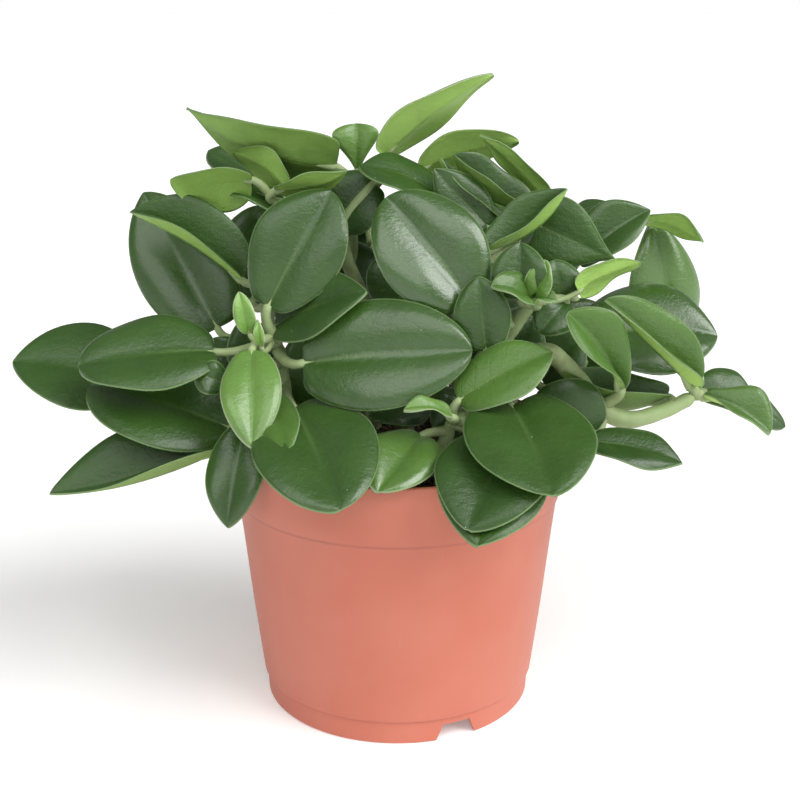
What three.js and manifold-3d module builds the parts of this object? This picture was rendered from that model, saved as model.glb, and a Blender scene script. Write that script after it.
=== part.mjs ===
// A potted peperomia: a terracotta-coloured nursery pot, its potting soil, and the leafy stems that
// grow in it.
// Millimetres. +Z is up, +X is to the right and +Y to the back as the plant is seen from its front.
// The origin is on the pot's axis, in the plane of the foot that the pot stands on.
import * as THREE from "three";
import { mergeVertices } from "three/addons/utils/BufferGeometryUtils.js";
import Module from "manifold-3d";

const wasm = await Module();
wasm.setup();

// The pot is a 12 cm nursery pot, which sets the size of everything else.
const POT_TOP_RADIUS = 60;
const POT_HEIGHT = 97;
const POT_WALL = 1.6;
const POT_SIDES = 40;
const FOOT_RADIUS = 47.8;
const FOOT_TAPER = 0.4;
const LEDGE_RADIUS = 49.2; // the wall starts its taper here, above the foot
const LEDGE_HEIGHT = 9;
const LEDGE_SLOPE = 0.8; // height over which the ledge comes out from the foot
const BAND_HEIGHT = 76; // the line below the smooth band under the rim
const BAND_STEP = 0.5;
const BAND_SLOPE = 0.6;
const FLOOR_HEIGHT = 7; // the floor is raised, so that water runs out below it
const NOTCH_COUNT = 3;
const NOTCH_ANGLE = -65; // degrees from +X: the first notch shows at the front
const NOTCH_HEIGHT = 6;
const NOTCH_BOTTOM_WIDTH = 15;
const NOTCH_TOP_WIDTH = 10;
const DRAIN_COUNT = 6;
const DRAIN_RADIUS = 4;
const DRAIN_CIRCLE = 34;
const DRAIN_ANGLE = 30; // degrees from +X to the first drain hole
const DRAIN_SIDES = 10;

const SOIL_TOP = 86;
const SOIL_CORNER = 13; // height at which the soil reaches the pot's wall
const SOIL_LUMP = 1.5;
const LUMP_PITCH = [20, 17]; // length of a lump's wave along X and Y
const SOIL_RINGS = 4;
const SOIL_SIDES = 22;
const GAP = 0.3; // clearance between pieces that touch
const SOIL_GAP = 0.5; // the same at the wall, where flat sides of two counts meet

const STEM_RADIUS = 2.4;
const STEM_SIDES = 6;
const HOLE_LENGTH = 22; // from a stem's foot to above the soil
const STALK_RADIUS = 1.6;
const STALK_STEPS = 2;
const STALK_BEND = 0.4; // share of a stalk's length that it runs in line with its blade
const STALK_SAG = 0.1;
const BLADE_THICKNESS = 1.3;
const EDGE_THICKNESS = 0.8;
const BLADE_STATIONS = [0.07, 0.3, 0.64, 0.9]; // from the base of a blade to its tip
const BLADE_ACROSS = [-1, -0.5, 0, 0.5, 1];
const NARROW_ACROSS = [-1, 0, 1]; // for a blade narrower than NARROW
const NARROW = 26;
const EDGE_WAVE = 0.7;

const POT_COLOUR = 0xd97f68;
const SOIL_COLOUR = 0x2b211a;
const LEAF_COLOUR = 0x2f6b2c;

const { degToRad } = THREE.MathUtils;

// Repeatable random numbers from 0 to 1.
function seeded(seed) {
  let state = seed;
  return () => {
    state = (state * 1664525 + 1013904223) % 4294967296;
    return state / 4294967296;
  };
}

// A closed geometry as a solid that can be joined and cut.
function toSolid(geometry) {
  const bare = geometry.clone();
  bare.deleteAttribute("normal");
  bare.deleteAttribute("uv");
  const merged = mergeVertices(bare, 1e-4);
  return new wasm.Manifold(new wasm.Mesh({
    numProp: 3,
    vertProperties: new Float32Array(merged.attributes.position.array),
    triVerts: new Uint32Array(merged.index.array),
  }));
}

function toGeometry(solid) {
  const mesh = solid.getMesh();
  const geometry = new THREE.BufferGeometry();
  geometry.setAttribute("position", new THREE.BufferAttribute(mesh.vertProperties, 3));
  geometry.setIndex(new THREE.BufferAttribute(mesh.triVerts, 1));
  geometry.computeVertexNormals();
  return geometry;
}

function joined(solids) {
  return solids.reduce((whole, solid) => whole.add(solid));
}

// The outer body alone: a hollow that joining has sealed is filled.
function filled(solid) {
  return solid.decompose().reduce((most, body) => (body.volume() > most.volume() ? body : most));
}

// A round bar of few sides along a path.
function bar(path, radius, sides, steps) {
  const section = new THREE.Shape();
  for (let k = 0; k < sides; k++) {
    const angle = (2 * Math.PI * k) / sides;
    const move = k === 0 ? "moveTo" : "lineTo";
    section[move](radius * Math.cos(angle), radius * Math.sin(angle));
  }
  section.closePath();
  return toSolid(new THREE.ExtrudeGeometry(section, { steps, extrudePath: path, bevelEnabled: false }));
}

// Radius of the pot's outside at a height, on its straight taper.
function wallRadius(height) {
  const rise = (height - LEDGE_HEIGHT) / (POT_HEIGHT - LEDGE_HEIGHT);
  return LEDGE_RADIUS + (POT_TOP_RADIUS - LEDGE_RADIUS) * rise;
}

function potGeometry() {
  const lip = POT_WALL / 3;
  const profile = [
    [0, FLOOR_HEIGHT],
    [FOOT_RADIUS - POT_WALL, FLOOR_HEIGHT],
    [FOOT_RADIUS - POT_WALL, 0],
    [FOOT_RADIUS, 0],
    [FOOT_RADIUS + FOOT_TAPER, LEDGE_HEIGHT - LEDGE_SLOPE],
    [LEDGE_RADIUS, LEDGE_HEIGHT],
    [wallRadius(BAND_HEIGHT) - BAND_STEP, BAND_HEIGHT - BAND_SLOPE],
    [wallRadius(BAND_HEIGHT), BAND_HEIGHT],
    [POT_TOP_RADIUS, POT_HEIGHT - lip],
    [POT_TOP_RADIUS - lip, POT_HEIGHT],
    [POT_TOP_RADIUS - POT_WALL, POT_HEIGHT - lip],
    [wallRadius(LEDGE_HEIGHT) - POT_WALL, LEDGE_HEIGHT],
    [wallRadius(LEDGE_HEIGHT) - 2 * POT_WALL, FLOOR_HEIGHT + POT_WALL],
    [0, FLOOR_HEIGHT + POT_WALL],
  ];
  const turned = new THREE.LatheGeometry(profile.map(([r, z]) => new THREE.Vector2(r, z)), POT_SIDES);
  turned.rotateX(Math.PI / 2);
  const cuts = [];
  for (let k = 0; k < NOTCH_COUNT; k++) cuts.push(notch(NOTCH_ANGLE + (360 * k) / NOTCH_COUNT));
  for (let k = 0; k < DRAIN_COUNT; k++) cuts.push(drain(DRAIN_ANGLE + (360 * k) / DRAIN_COUNT));
  return toGeometry(toSolid(turned).subtract(joined(cuts)));
}

// A slot through the foot, narrower at its roof, for water to run out.
function notch(angle) {
  const below = 1;
  const slope = (NOTCH_BOTTOM_WIDTH - NOTCH_TOP_WIDTH) / 2 / NOTCH_HEIGHT;
  const low = NOTCH_BOTTOM_WIDTH / 2 + slope * below;
  const high = NOTCH_TOP_WIDTH / 2;
  const face = new THREE.Shape([
    new THREE.Vector2(-low, -below),
    new THREE.Vector2(low, -below),
    new THREE.Vector2(high, NOTCH_HEIGHT),
    new THREE.Vector2(-high, NOTCH_HEIGHT),
  ]);
  const slot = new THREE.ExtrudeGeometry(face, { depth: NOTCH_TOP_WIDTH, bevelEnabled: false });
  slot.rotateX(Math.PI / 2);
  slot.translate(0, -FOOT_RADIUS + NOTCH_TOP_WIDTH / 2, 0);
  slot.rotateZ(degToRad(angle + 90));
  return toSolid(slot);
}

function drain(angle) {
  const hole = new THREE.CylinderGeometry(DRAIN_RADIUS, DRAIN_RADIUS, POT_WALL * 3, DRAIN_SIDES);
  hole.rotateX(Math.PI / 2);
  hole.translate(DRAIN_CIRCLE, 0, FLOOR_HEIGHT + POT_WALL / 2);
  hole.rotateZ(degToRad(angle));
  return toSolid(hole);
}

// The soil fills the pot; its top is lumpy, and each stem stands in a hole of its own.
function soilGeometry(holes) {
  const bottom = FLOOR_HEIGHT + POT_WALL + GAP;
  const clear = POT_WALL + SOIL_GAP;
  const top = wallRadius(SOIL_TOP) - clear;
  const profile = [
    new THREE.Vector2(0, bottom),
    new THREE.Vector2(wallRadius(bottom) - POT_WALL * 2 - clear, bottom),
    new THREE.Vector2(wallRadius(SOIL_CORNER) - clear, SOIL_CORNER),
  ];
  for (let ring = SOIL_RINGS; ring >= 0; ring--) {
    profile.push(new THREE.Vector2((top * ring) / SOIL_RINGS, SOIL_TOP));
  }
  const turned = new THREE.LatheGeometry(profile, SOIL_SIDES);
  turned.rotateX(Math.PI / 2);
  const place = turned.attributes.position;
  for (let k = 0; k < place.count; k++) {
    const [x, y, z] = [place.getX(k), place.getY(k), place.getZ(k)];
    if (z > SOIL_TOP - 1 && Math.hypot(x, y) < top - 1) {
      const [acrossX, acrossY] = [(2 * Math.PI * x) / LUMP_PITCH[0], (2 * Math.PI * y) / LUMP_PITCH[1]];
      const lump = Math.sin(acrossX + 2) * Math.cos(acrossY);
      place.setZ(k, z + SOIL_LUMP * (1 + lump));
    }
  }
  return toGeometry(toSolid(turned).subtract(joined(holes)));
}

const vector = (place) => new THREE.Vector3(...place);

function pathOf(places) {
  return new THREE.CatmullRomCurve3(places.map(vector), false, "centripetal");
}

// The direction that azimuth (degrees from +X towards +Y) and elevation (degrees above level) give.
function direction([azimuth, elevation]) {
  const [a, e] = [degToRad(azimuth), degToRad(elevation)];
  return new THREE.Vector3(Math.cos(e) * Math.cos(a), Math.cos(e) * Math.sin(a), Math.sin(e));
}

// Half the width of a blade, as a share of its greatest, which it has at belly. Its base is round, and
// point says how its tip ends: 0.5 is round, and 1 runs in straight.
function outline(along, belly, point) {
  const swell = along ** (Math.log(0.5) / Math.log(belly));
  return Math.max(0, Math.sin(Math.PI * swell)) ** (0.5 + (point - 0.5) * along);
}

// A point of a blade's middle surface. along runs from 0 at its base to 1 at its tip, and across from
// -1 to 1. The blade's upper face looks towards face; its halves rise by fold degrees from the midrib,
// with cup degrees more at the base, and its middle stands arch millimetres above the line from base to tip.
function bladePoint(leaf, along, across) {
  const { base, tip, face, wide, fold = 8, cup = 0, arch = 2, belly = 0.46, point = 0.6, phase = 0 } = leaf;
  const axis = vector(tip).sub(vector(base));
  const normal = direction(face).projectOnPlane(axis.clone().normalize()).normalize();
  const side = normal.clone().cross(axis).normalize();
  const reach = (wide / 2) * outline(along, belly, point) * across;
  const tilt = degToRad(fold + cup * (1 - along) ** 2);
  const wave = EDGE_WAVE * across ** 2 * Math.sin(9 * along + phase + across);
  const rise = arch * (1 - (2 * along - 1) ** 2) + Math.abs(reach) * Math.sin(tilt) + wave;
  return vector(base)
    .addScaledVector(axis, along)
    .addScaledVector(side, reach * Math.cos(tilt))
    .addScaledVector(normal, rise);
}

// Where a leaf's stalk leaves its stem: at the stem's nearest point.
function stalkRoot(leaf, stem) {
  const tries = 40;
  const lowest = 4;
  const base = vector(leaf.base);
  let nearest = null;
  for (let k = lowest; k <= tries; k++) {
    const place = stem.getPoint(k / tries);
    const away = place.distanceTo(base);
    if (!nearest || away < nearest.away) nearest = { place, away, heading: stem.getTangent(k / tries) };
  }
  return nearest;
}

// A leaf as one closed shell, from the root of its stalk to the tip of its blade. The stalk has four
// sides. The blade's upper and lower faces have the same triangles, joined round its edge.
function leafSolid(leaf, stem) {
  const root = stalkRoot(leaf, stem);
  const base = vector(leaf.base);
  const axis = vector(leaf.tip).sub(base).normalize();
  const normal = direction(leaf.face).projectOnPlane(axis).normalize();
  const side = normal.clone().cross(axis);
  const bend = base.clone()
    .addScaledVector(axis, -root.away * STALK_BEND)
    .addScaledVector(root.heading, -root.away * STALK_SAG);
  const path = new THREE.QuadraticBezierCurve3(root.place, bend, base);
  const radius = leaf.stalk ?? STALK_RADIUS;
  const places = [];
  const triangles = [];
  const add = (middle, way, offset) => places.push(middle.clone().addScaledVector(way, offset)) - 1;
  const quad = (a, b, c, d) => triangles.push(a, b, c, a, c, d);

  const rings = [];
  for (let step = 0; step <= STALK_STEPS; step++) {
    const middle = path.getPoint(step / STALK_STEPS);
    const heading = path.getTangent(step / STALK_STEPS);
    const up = normal.clone().projectOnPlane(heading).normalize();
    const right = up.clone().cross(heading);
    rings.push([
      add(middle, up, radius),
      add(middle, right, radius),
      add(middle, up, -radius),
      add(middle, right, -radius),
    ]);
  }
  quad(...rings[0]);
  for (let step = 0; step < STALK_STEPS; step++) {
    for (let k = 0; k < 4; k++) {
      const next = (k + 1) % 4;
      quad(rings[step][k], rings[step + 1][k], rings[step + 1][next], rings[step][next]);
    }
  }

  const shares = leaf.wide < NARROW ? NARROW_ACROSS : BLADE_ACROSS;
  const rows = [...BLADE_STATIONS, 1].map((along) => {
    const across = along === 1 ? [0] : shares;
    return across.map((share) => {
      const thickness = Math.abs(share) === 1 || along === 1 ? EDGE_THICKNESS : BLADE_THICKNESS;
      const middle = bladePoint(leaf, along, share);
      return { over: add(middle, normal, thickness / 2), under: add(middle, normal, -thickness / 2) };
    });
  });
  const both = (a, b, c) => triangles.push(a.over, b.over, c.over, a.under, c.under, b.under);
  const rim = (a, b) => quad(a.over, a.under, b.under, b.over);
  const last = shares.length - 1;
  const [neckOver, neckRight, neckUnder, neckLeft] = rings[STALK_STEPS];
  const neck = { over: neckOver, under: neckUnder };
  const first = rows[0];
  for (let k = 0; k < last; k++) both(neck, first[k], first[k + 1]);
  triangles.push(neckOver, neckLeft, first[0].over);
  quad(neckLeft, neckUnder, first[0].under, first[0].over);
  triangles.push(neckOver, first[last].over, neckRight);
  quad(neckRight, first[last].over, first[last].under, neckUnder);
  for (let row = 0; row < rows.length - 2; row++) {
    const [near, far] = [rows[row], rows[row + 1]];
    for (let k = 0; k < last; k++) {
      if (k < last / 2) {
        both(near[k], far[k], far[k + 1]);
        both(near[k], far[k + 1], near[k + 1]);
      } else {
        both(near[k], far[k], near[k + 1]);
        both(near[k + 1], far[k], far[k + 1]);
      }
    }
    rim(near[0], far[0]);
    rim(far[last], near[last]);
  }
  const [end, tip] = [rows.at(-2), rows.at(-1)[0]];
  for (let k = 0; k < last; k++) both(tip, end[k + 1], end[k]);
  rim(end[0], tip);
  rim(tip, end[last]);

  const shell = new THREE.BufferGeometry();
  const corners = places.flatMap((place) => place.toArray());
  shell.setAttribute("position", new THREE.Float32BufferAttribute(corners, 3));
  shell.setIndex(triangles);
  return toSolid(shell);
}

// Each leafy stem: the route of its stem, from inside the soil up, and its leaves.
const FRONT_STEMS = {
  stem_front_left: {
    route: [[-30, -8, 74], [-32, -8, 90], [-38, -9, 104], [-39, -10, 118], [-41, -13, 134]],
    leaves: [
      { base: [-61, -18, 130], tip: [-105, -26, 127], face: [-90, 58], wide: 34, fold: 6, point: 0.5 },
      { base: [-43, -16, 145], tip: [-22, -5, 182], face: [-95, 18], wide: 32, belly: 0.5, stalk: 1.9 },
      { base: [-48, -24, 132], tip: [-46, -50, 107], face: [-90, 42], wide: 20, point: 0.7 },
      { base: [-44, -20, 116], tip: [-34, -58, 108], face: [-85, 55], wide: 15, fold: 3, point: 0.75 },
      { base: [-50, -31, 108], tip: [-55, -48, 79], face: [-100, 30], wide: 20, point: 0.75 },
      { base: [-34, -30, 114], tip: [-17, -76, 96], face: [-95, 64], wide: 40, belly: 0.5, point: 0.5 },
      {
        base: [-31, -25, 128], tip: [24, -35, 135], face: [-92, 30], wide: 38,
        belly: 0.45, point: 0.5, stalk: 1.8,
      },
      { base: [-41, -11, 137], tip: [-10, -26, 152], face: [-95, 50], wide: 27, point: 0.75 },
      { base: [-57, -26, 121], tip: [-67, -26, 125], face: [-90, 30], wide: 12 },
      { base: [-49, -20, 137], tip: [-52, -20, 151], face: [-90, 20], wide: 8, fold: 25, stalk: 1 },
      { base: [-45, -22, 133], tip: [-46, -22, 142], face: [-90, 10], wide: 4, fold: 25, stalk: 1 },
    ],
  },
  stem_left: {
    route: [[-40, 2, 74], [-44, 2, 92], [-50, 0, 108], [-60, 4, 116], [-74, 8, 118]],
    leaves: [
      { base: [-88, 8, 112], tip: [-135, 2, 121], face: [-98, 58], wide: 42, belly: 0.52, point: 0.75 },
      { base: [-57, -20, 104], tip: [-105, -14, 117], face: [-90, 58], wide: 40, point: 0.5 },
      {
        base: [-59, -28, 99], tip: [-115, -36, 86], face: [-92, 73], wide: 37,
        fold: 38, cup: 12, arch: -4, point: 0.7,
      },
      { base: [-52, 5, 110], tip: [-66, 3, 129], face: [-90, 25], wide: 22 },
      { base: [-49, 4, 114], tip: [-53, 2, 137], face: [-90, 25], wide: 18 },
    ],
  },
  stem_back_left: {
    route: [[-26, 16, 74], [-32, 16, 98], [-44, 14, 122], [-46, 10, 142], [-44, 10, 162], [-42, 12, 172]],
    leaves: [
      {
        base: [-64, 12, 131], tip: [-92, 34, 176], face: [-98, 32], wide: 35,
        fold: 4, belly: 0.42, point: 0.65,
      },
      { base: [-54, 4, 150], tip: [-92, 8, 173], face: [-53, 49], wide: 33, fold: 55, point: 0.7 },
      {
        base: [-50, 8, 184], tip: [-77, 4, 184], face: [90, 42], wide: 24,
        fold: -16, arch: -1, belly: 0.42, point: 0.7,
      },
      { base: [-37, 13, 170], tip: [-58, 10, 179], face: [-90, 70], wide: 15, fold: 20 },
      { base: [-45, 26, 178], tip: [-68, 34, 191], face: [-90, 60], wide: 20 },
      { base: [-52, 18, 140], tip: [-50, 30, 172], face: [-85, 25], wide: 28 },
      { base: [-39, 15, 170], tip: [-54, 15, 177], face: [90, 65], wide: 13 },
      { base: [-28, 10, 104], tip: [-34, 10, 130], face: [-90, 20], wide: 24 },
    ],
  },
  stem_top_left: {
    route: [[-10, 18, 74], [-12, 18, 110], [-16, 18, 150], [-16, 20, 176], [-14, 24, 184]],
    leaves: [
      {
        base: [-21, 12, 188], tip: [-73, 22, 207], face: [100, 47], wide: 32,
        arch: -6, belly: 0.24, point: 1,
      },
      { base: [-38, 10, 181], tip: [-56, 12, 193], face: [80, 45], wide: 18 },
      { base: [-41, 4, 181], tip: [-17, 0, 188], face: [90, 60], wide: 16, arch: -2 },
      {
        base: [-14, 28, 182], tip: [-15, 30, 201], face: [-92, 34], wide: 17,
        fold: 14, belly: 0.8, point: 0.5, stalk: 1.9,
      },
      { base: [-17, 14, 139], tip: [-17, 22, 161], face: [-90, 20], wide: 26 },
    ],
  },
  stem_top: {
    route: [[4, 10, 74], [2, 12, 110], [-12, 10, 142], [-19, 6, 166], [-10, 7, 180], [-2, 17, 187]],
    leaves: [
      { base: [-4, 20, 191], tip: [32, 8, 219], face: [128, 48], wide: 26, belly: 0.36, point: 0.85 },
      { base: [14, 6, 179], tip: [-13, 2, 189], face: [-92, 66], wide: 25, point: 0.75 },
      { base: [-8, 8, 183], tip: [-24, 8, 167], face: [-107, 20], wide: 24 },
      { base: [8, 20, 186], tip: [42, 18, 196], face: [85, 52], wide: 24, point: 0.7 },
      { base: [0, 4, 138], tip: [4, 10, 161], face: [-90, 20], wide: 26 },
      { base: [16, 10, 150], tip: [10, 14, 178], face: [-90, 20], wide: 28 },
      { base: [8, 2, 110], tip: [-10, -14, 106], face: [-95, 40], wide: 25 },
    ],
  },
  stem_centre: {
    radius: 3,
    route: [[20, -6, 74], [22, -8, 100], [28, -12, 124], [37, -16, 136], [44, -19, 147]],
    leaves: [
      { base: [24, -22, 148], tip: [-4, -8, 180], face: [-100, 35], wide: 36, point: 0.5 }, // large, glossy
      { base: [29, -27, 133], tip: [26, -25, 157], face: [-95, 15], wide: 19 },
      { base: [40, -21, 149], tip: [40, -19, 167], face: [-100, 35], wide: 19, fold: 15 },
      { base: [43, -23, 148], tip: [30, -30, 155], face: [-90, 55], wide: 15, fold: 25, point: 0.5 },
      {
        base: [45, -22, 149], tip: [48, -23, 162], face: [-100, 20], wide: 10,
        fold: 25, point: 0.5, stalk: 1,
      },
      { base: [54, -12, 146], tip: [52, -12, 160], face: [-85, 25], wide: 16, point: 0.5 },
      { base: [56, -14, 146], tip: [47, -20, 137], face: [-85, 35], wide: 15, point: 0.5 },
      {
        base: [60, -16, 150], tip: [80, -16, 160], face: [95, 40], wide: 14,
        belly: 0.3, point: 0.75, stalk: 1.1,
      },
      { base: [26, -18, 112], tip: [12, -26, 106], face: [-80, 40], wide: 20 },
      { base: [45, -22, 147], tip: [52, -27, 149], face: [-80, 60], wide: 8, fold: 25, stalk: 1 },
      { base: [38, 1, 119], tip: [47, 3, 137], face: [-85, 30], wide: 20 },
      { base: [34, -5, 116], tip: [27, -7, 136], face: [-90, 20], wide: 16 },
    ],
  },
  stem_top_right: {
    route: [[26, 12, 74], [28, 12, 104], [34, 12, 134], [40, 12, 160], [44, 12, 172]],
    leaves: [
      { base: [51, 10, 177], tip: [28, 9, 199], face: [90, 60], wide: 12, arch: 1, belly: 0.32, point: 0.8 },
      { base: [43, 4, 175], tip: [19, 4, 193], face: [-41, 45], wide: 24, fold: 59, arch: -6, point: 0.7 },
      { base: [35, 0, 172], tip: [14, 1, 192], face: [-38, 41], wide: 14, fold: 59, arch: -5, point: 0.7 },
      { base: [31, -2, 169], tip: [12, -2, 189], face: [-110, 35], wide: 17, fold: 4, arch: -1, point: 0.9 },
      {
        base: [30, -12, 163], tip: [56, -8, 183], face: [-136, 47], wide: 24,
        fold: 56, arch: -5, point: 0.7,
      },
      { base: [48, 5, 169], tip: [76, 1, 157], face: [-100, 12], wide: 25, fold: 4, belly: 0.2, point: 1.4 },
    ],
  },
  stem_upper_right: {
    route: [[34, 2, 74], [38, 4, 100], [48, 10, 124], [58, 16, 144], [62, 18, 152]],
    leaves: [
      { base: [64, 18, 154], tip: [89, 19, 172], face: [-108, 37], wide: 24, fold: 32, point: 0.7 },
      { base: [60, 26, 167], tip: [79, 29, 172], face: [-90, 80], wide: 13 },
      { base: [88, 22, 168], tip: [108, 17, 161], face: [90, 55], wide: 15, point: 0.8 },
      {
        base: [99, 26, 122], tip: [92, 30, 168], face: [-72, 24], wide: 29,
        fold: 5, belly: 0.42, point: 0.9,
      },
      { base: [51, 14, 117], tip: [72, 16, 139], face: [-90, 25], wide: 26 },
    ],
  },
  stem_right: {
    route: [[40, -8, 74], [46, -8, 96], [56, -6, 112], [64, -4, 122]],
    leaves: [
      { base: [67, 7, 130], tip: [112, 4, 130], face: [-75, 50], wide: 41 },
      { base: [54, 2, 107], tip: [76, 4, 118], face: [-85, 40], wide: 24 },
      { base: [50, 2, 116], tip: [64, -1, 130], face: [-90, 40], wide: 24 },
    ],
  },
  stem_right_front: {
    radius: 3.2,
    route: [
      [30, -10, 74], [35, -9, 100], [41, -11, 122], [50, -14, 129], [60, -17, 121],
      [68, -19, 111], [77, -20, 107], [89, -18, 109], [102, -14, 114],
    ],
    leaves: [
      {
        base: [100, -15, 117], tip: [67, -28, 150], face: [-40, 28], wide: 26,
        fold: 44, cup: 30, arch: 0, point: 0.65, stalk: 2.1,
      },
      {
        base: [74, -24, 119], tip: [54, -35, 147], face: [-50, 12], wide: 24,
        fold: 34, cup: 50, belly: 0.62, point: 0.5, stalk: 2,
      },
      {
        base: [92, -14, 113], tip: [55, -19, 123], face: [-56, 70], wide: 28,
        fold: 62, arch: -10, stalk: 2,
      },
      { base: [104, -8, 114], tip: [123, -6, 111], face: [-90, 50], wide: 18 },
      {
        base: [104, -14, 113], tip: [125, -24, 103], face: [-60, 50], wide: 21,
        fold: 35, cup: 20, belly: 0.6, point: 0.5,
      },
      { base: [116, -4, 110], tip: [135, -7, 100], face: [-90, 40], wide: 11 },
      { base: [101, -13, 114], tip: [101, -12, 125], face: [-90, 10], wide: 6, fold: 25, stalk: 1 },
      { base: [66, -25, 104], tip: [47, -23, 118], face: [-90, 16], wide: 25 },
    ],
  },
  stem_front_right: {
    route: [[12, -22, 74], [14, -26, 92], [16, -32, 104], [18, -36, 112]],
    leaves: [
      { base: [20, -38, 119], tip: [50, -34, 134], face: [-85, 55], wide: 23, point: 0.65 },
      { base: [17, -43, 115], tip: [2, -48, 119], face: [-90, 70], wide: 10, fold: 30 },
      { base: [8, -38, 107], tip: [-6, -66, 98], face: [-92, 50], wide: 24, point: 0.55 },
      { base: [37, -34, 116], tip: [46, -77, 101], face: [-85, 66], wide: 42, point: 0.5 },
      { base: [36, -46, 108], tip: [21, -79, 91], face: [-95, 55], wide: 36, point: 0.6 },
      { base: [34, -42, 103], tip: [24, -80, 86], face: [-95, 55], wide: 35, point: 0.7 },
    ],
  },
  stem_low_right: {
    route: [[38, -28, 74], [41, -30, 92], [47, -33, 102], [56, -33, 103]],
    leaves: [
      { base: [64, -30, 102], tip: [94, -34, 96], face: [-90, 66], wide: 19, point: 0.75 },
    ],
  },
};

// The stems on the side away from the front are of the same habit: each leans out at its azimuth, and
// carries a pair of leaves in each tier. The lowest pairs droop over the rim, and the highest stand up.
const REAR_STEMS = [
  { name: "stem_rear_left", azimuth: 132, rise: 0, seed: 5 },
  { name: "stem_rear_mid_left", azimuth: 105, rise: 4, seed: 11 },
  { name: "stem_rear_mid_right", azimuth: 77, rise: 0, seed: 23 },
  { name: "stem_rear_right", azimuth: 50, rise: 4, seed: 42 },
];
const REAR_TIERS = [
  { height: 107, long: 42, lift: -14, wide: 29, faceLift: 78 },
  { height: 124, long: 41, lift: 4, wide: 28, faceLift: 74 },
  { height: 141, long: 36, lift: 24, wide: 26, faceLift: 62 },
];
const REAR_RADIUS = 40; // where the blades start, from the pot's axis
const PAIR_TURN = 6.5; // degrees that each leaf of a pair stands off its stem's azimuth
const PAIR_STEP = 8; // how much higher the second leaf of a pair grows
const REAR_TOP = 157;
const REAR_ROUTE = [[32, 74], [33, 98], [34, 126], [36, REAR_TOP]]; // radius and height
const REAR_BUD = { long: 26, lift: 50, wide: 18, faceLift: 40 }; // the youngest leaf, at the top

function rearStem({ azimuth, rise, seed }) {
  const random = seeded(seed);
  const out = (angle, radius, height) => {
    const a = degToRad(angle);
    return [radius * Math.cos(a), radius * Math.sin(a), height];
  };
  const leaf = (turn, height, { long, lift, wide, faceLift }) => {
    const base = out(turn, REAR_RADIUS + 2 * random(), height);
    const tip = vector(base).add(direction([turn, lift]).multiplyScalar(long)).toArray();
    return { base, tip, face: [turn, faceLift], wide, fold: 5 };
  };
  const leaves = REAR_TIERS.flatMap((tier) => [
    leaf(azimuth - PAIR_TURN - random(), tier.height + rise, tier),
    leaf(azimuth + PAIR_TURN + random(), tier.height + rise + PAIR_STEP, tier),
  ]);
  leaves.push(leaf(azimuth, REAR_TOP + rise, REAR_BUD));
  const route = REAR_ROUTE.map(([radius, height]) => out(azimuth, radius, height));
  return { route, leaves };
}

const LEAFY_STEMS = { ...FRONT_STEMS };
for (const stem of REAR_STEMS) LEAFY_STEMS[stem.name] = rearStem(stem);

function leafyStem({ route, leaves, radius = STEM_RADIUS }) {
  const stem = pathOf(route);
  const whole = bar(stem, radius, STEM_SIDES, 2 * (route.length - 1));
  const grown = leaves.map((leaf, order) => leafSolid({ ...leaf, phase: 2 * order }, stem));
  return filled(joined([whole, ...grown]));
}

// The hole that a stem stands in: as wide as the stem with the clearance all round.
function stemHole({ route, radius = STEM_RADIUS }) {
  const start = vector(route[0]);
  const heading = vector(route[1]).sub(start).normalize();
  const floor = start.clone().addScaledVector(heading, -2 * GAP);
  const mouth = start.clone().addScaledVector(heading, HOLE_LENGTH);
  return bar(new THREE.LineCurve3(floor, mouth), radius + 4 * GAP, STEM_SIDES, 1);
}

function finish(colour, roughness) {
  return new THREE.MeshStandardMaterial({ color: colour, roughness, metalness: 0 });
}

function part(name, geometry, material) {
  const mesh = new THREE.Mesh(geometry, material);
  mesh.name = name;
  return mesh;
}

const plant = new THREE.Group();
plant.add(part("pot", potGeometry(), finish(POT_COLOUR, 0.55)));
plant.add(part("soil", soilGeometry(Object.values(LEAFY_STEMS).map(stemHole)), finish(SOIL_COLOUR, 0.95)));
for (const [name, stem] of Object.entries(LEAFY_STEMS)) {
  plant.add(part(name, toGeometry(leafyStem(stem)), finish(LEAF_COLOUR, 0.35)));
}

export default plant;
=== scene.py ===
"""A potted peperomia: thick waxy leaves on fleshy stalks, in soil in a plain terracotta-coloured pot.

The sizes are millimetres, and MM turns them into Blender's metres. +Z is up, +X is to the right and
+Y to the back, as the plant is seen from its front. The origin is on the pot's axis, under its foot.
"""

import logging
import math
from collections.abc import Iterable, Sequence
from dataclasses import dataclass, field
from enum import Enum
from typing import Any, Union

import bpy
import numpy as np
from mathutils import Matrix, Vector, noise

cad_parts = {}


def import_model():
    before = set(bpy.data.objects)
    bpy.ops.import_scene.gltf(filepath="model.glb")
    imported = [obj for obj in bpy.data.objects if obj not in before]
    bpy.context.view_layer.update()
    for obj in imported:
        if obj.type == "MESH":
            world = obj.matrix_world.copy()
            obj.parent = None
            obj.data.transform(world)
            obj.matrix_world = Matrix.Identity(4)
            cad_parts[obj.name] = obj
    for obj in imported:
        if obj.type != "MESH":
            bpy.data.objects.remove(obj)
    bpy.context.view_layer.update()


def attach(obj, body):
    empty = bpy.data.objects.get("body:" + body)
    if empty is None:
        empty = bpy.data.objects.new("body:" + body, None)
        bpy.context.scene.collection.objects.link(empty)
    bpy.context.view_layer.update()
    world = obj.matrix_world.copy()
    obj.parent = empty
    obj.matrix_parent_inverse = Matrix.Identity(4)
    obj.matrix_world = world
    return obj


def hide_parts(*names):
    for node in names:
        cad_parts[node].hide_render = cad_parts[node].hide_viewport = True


MM = 0.001
LOG = logging.getLogger("peperomia")

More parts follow.
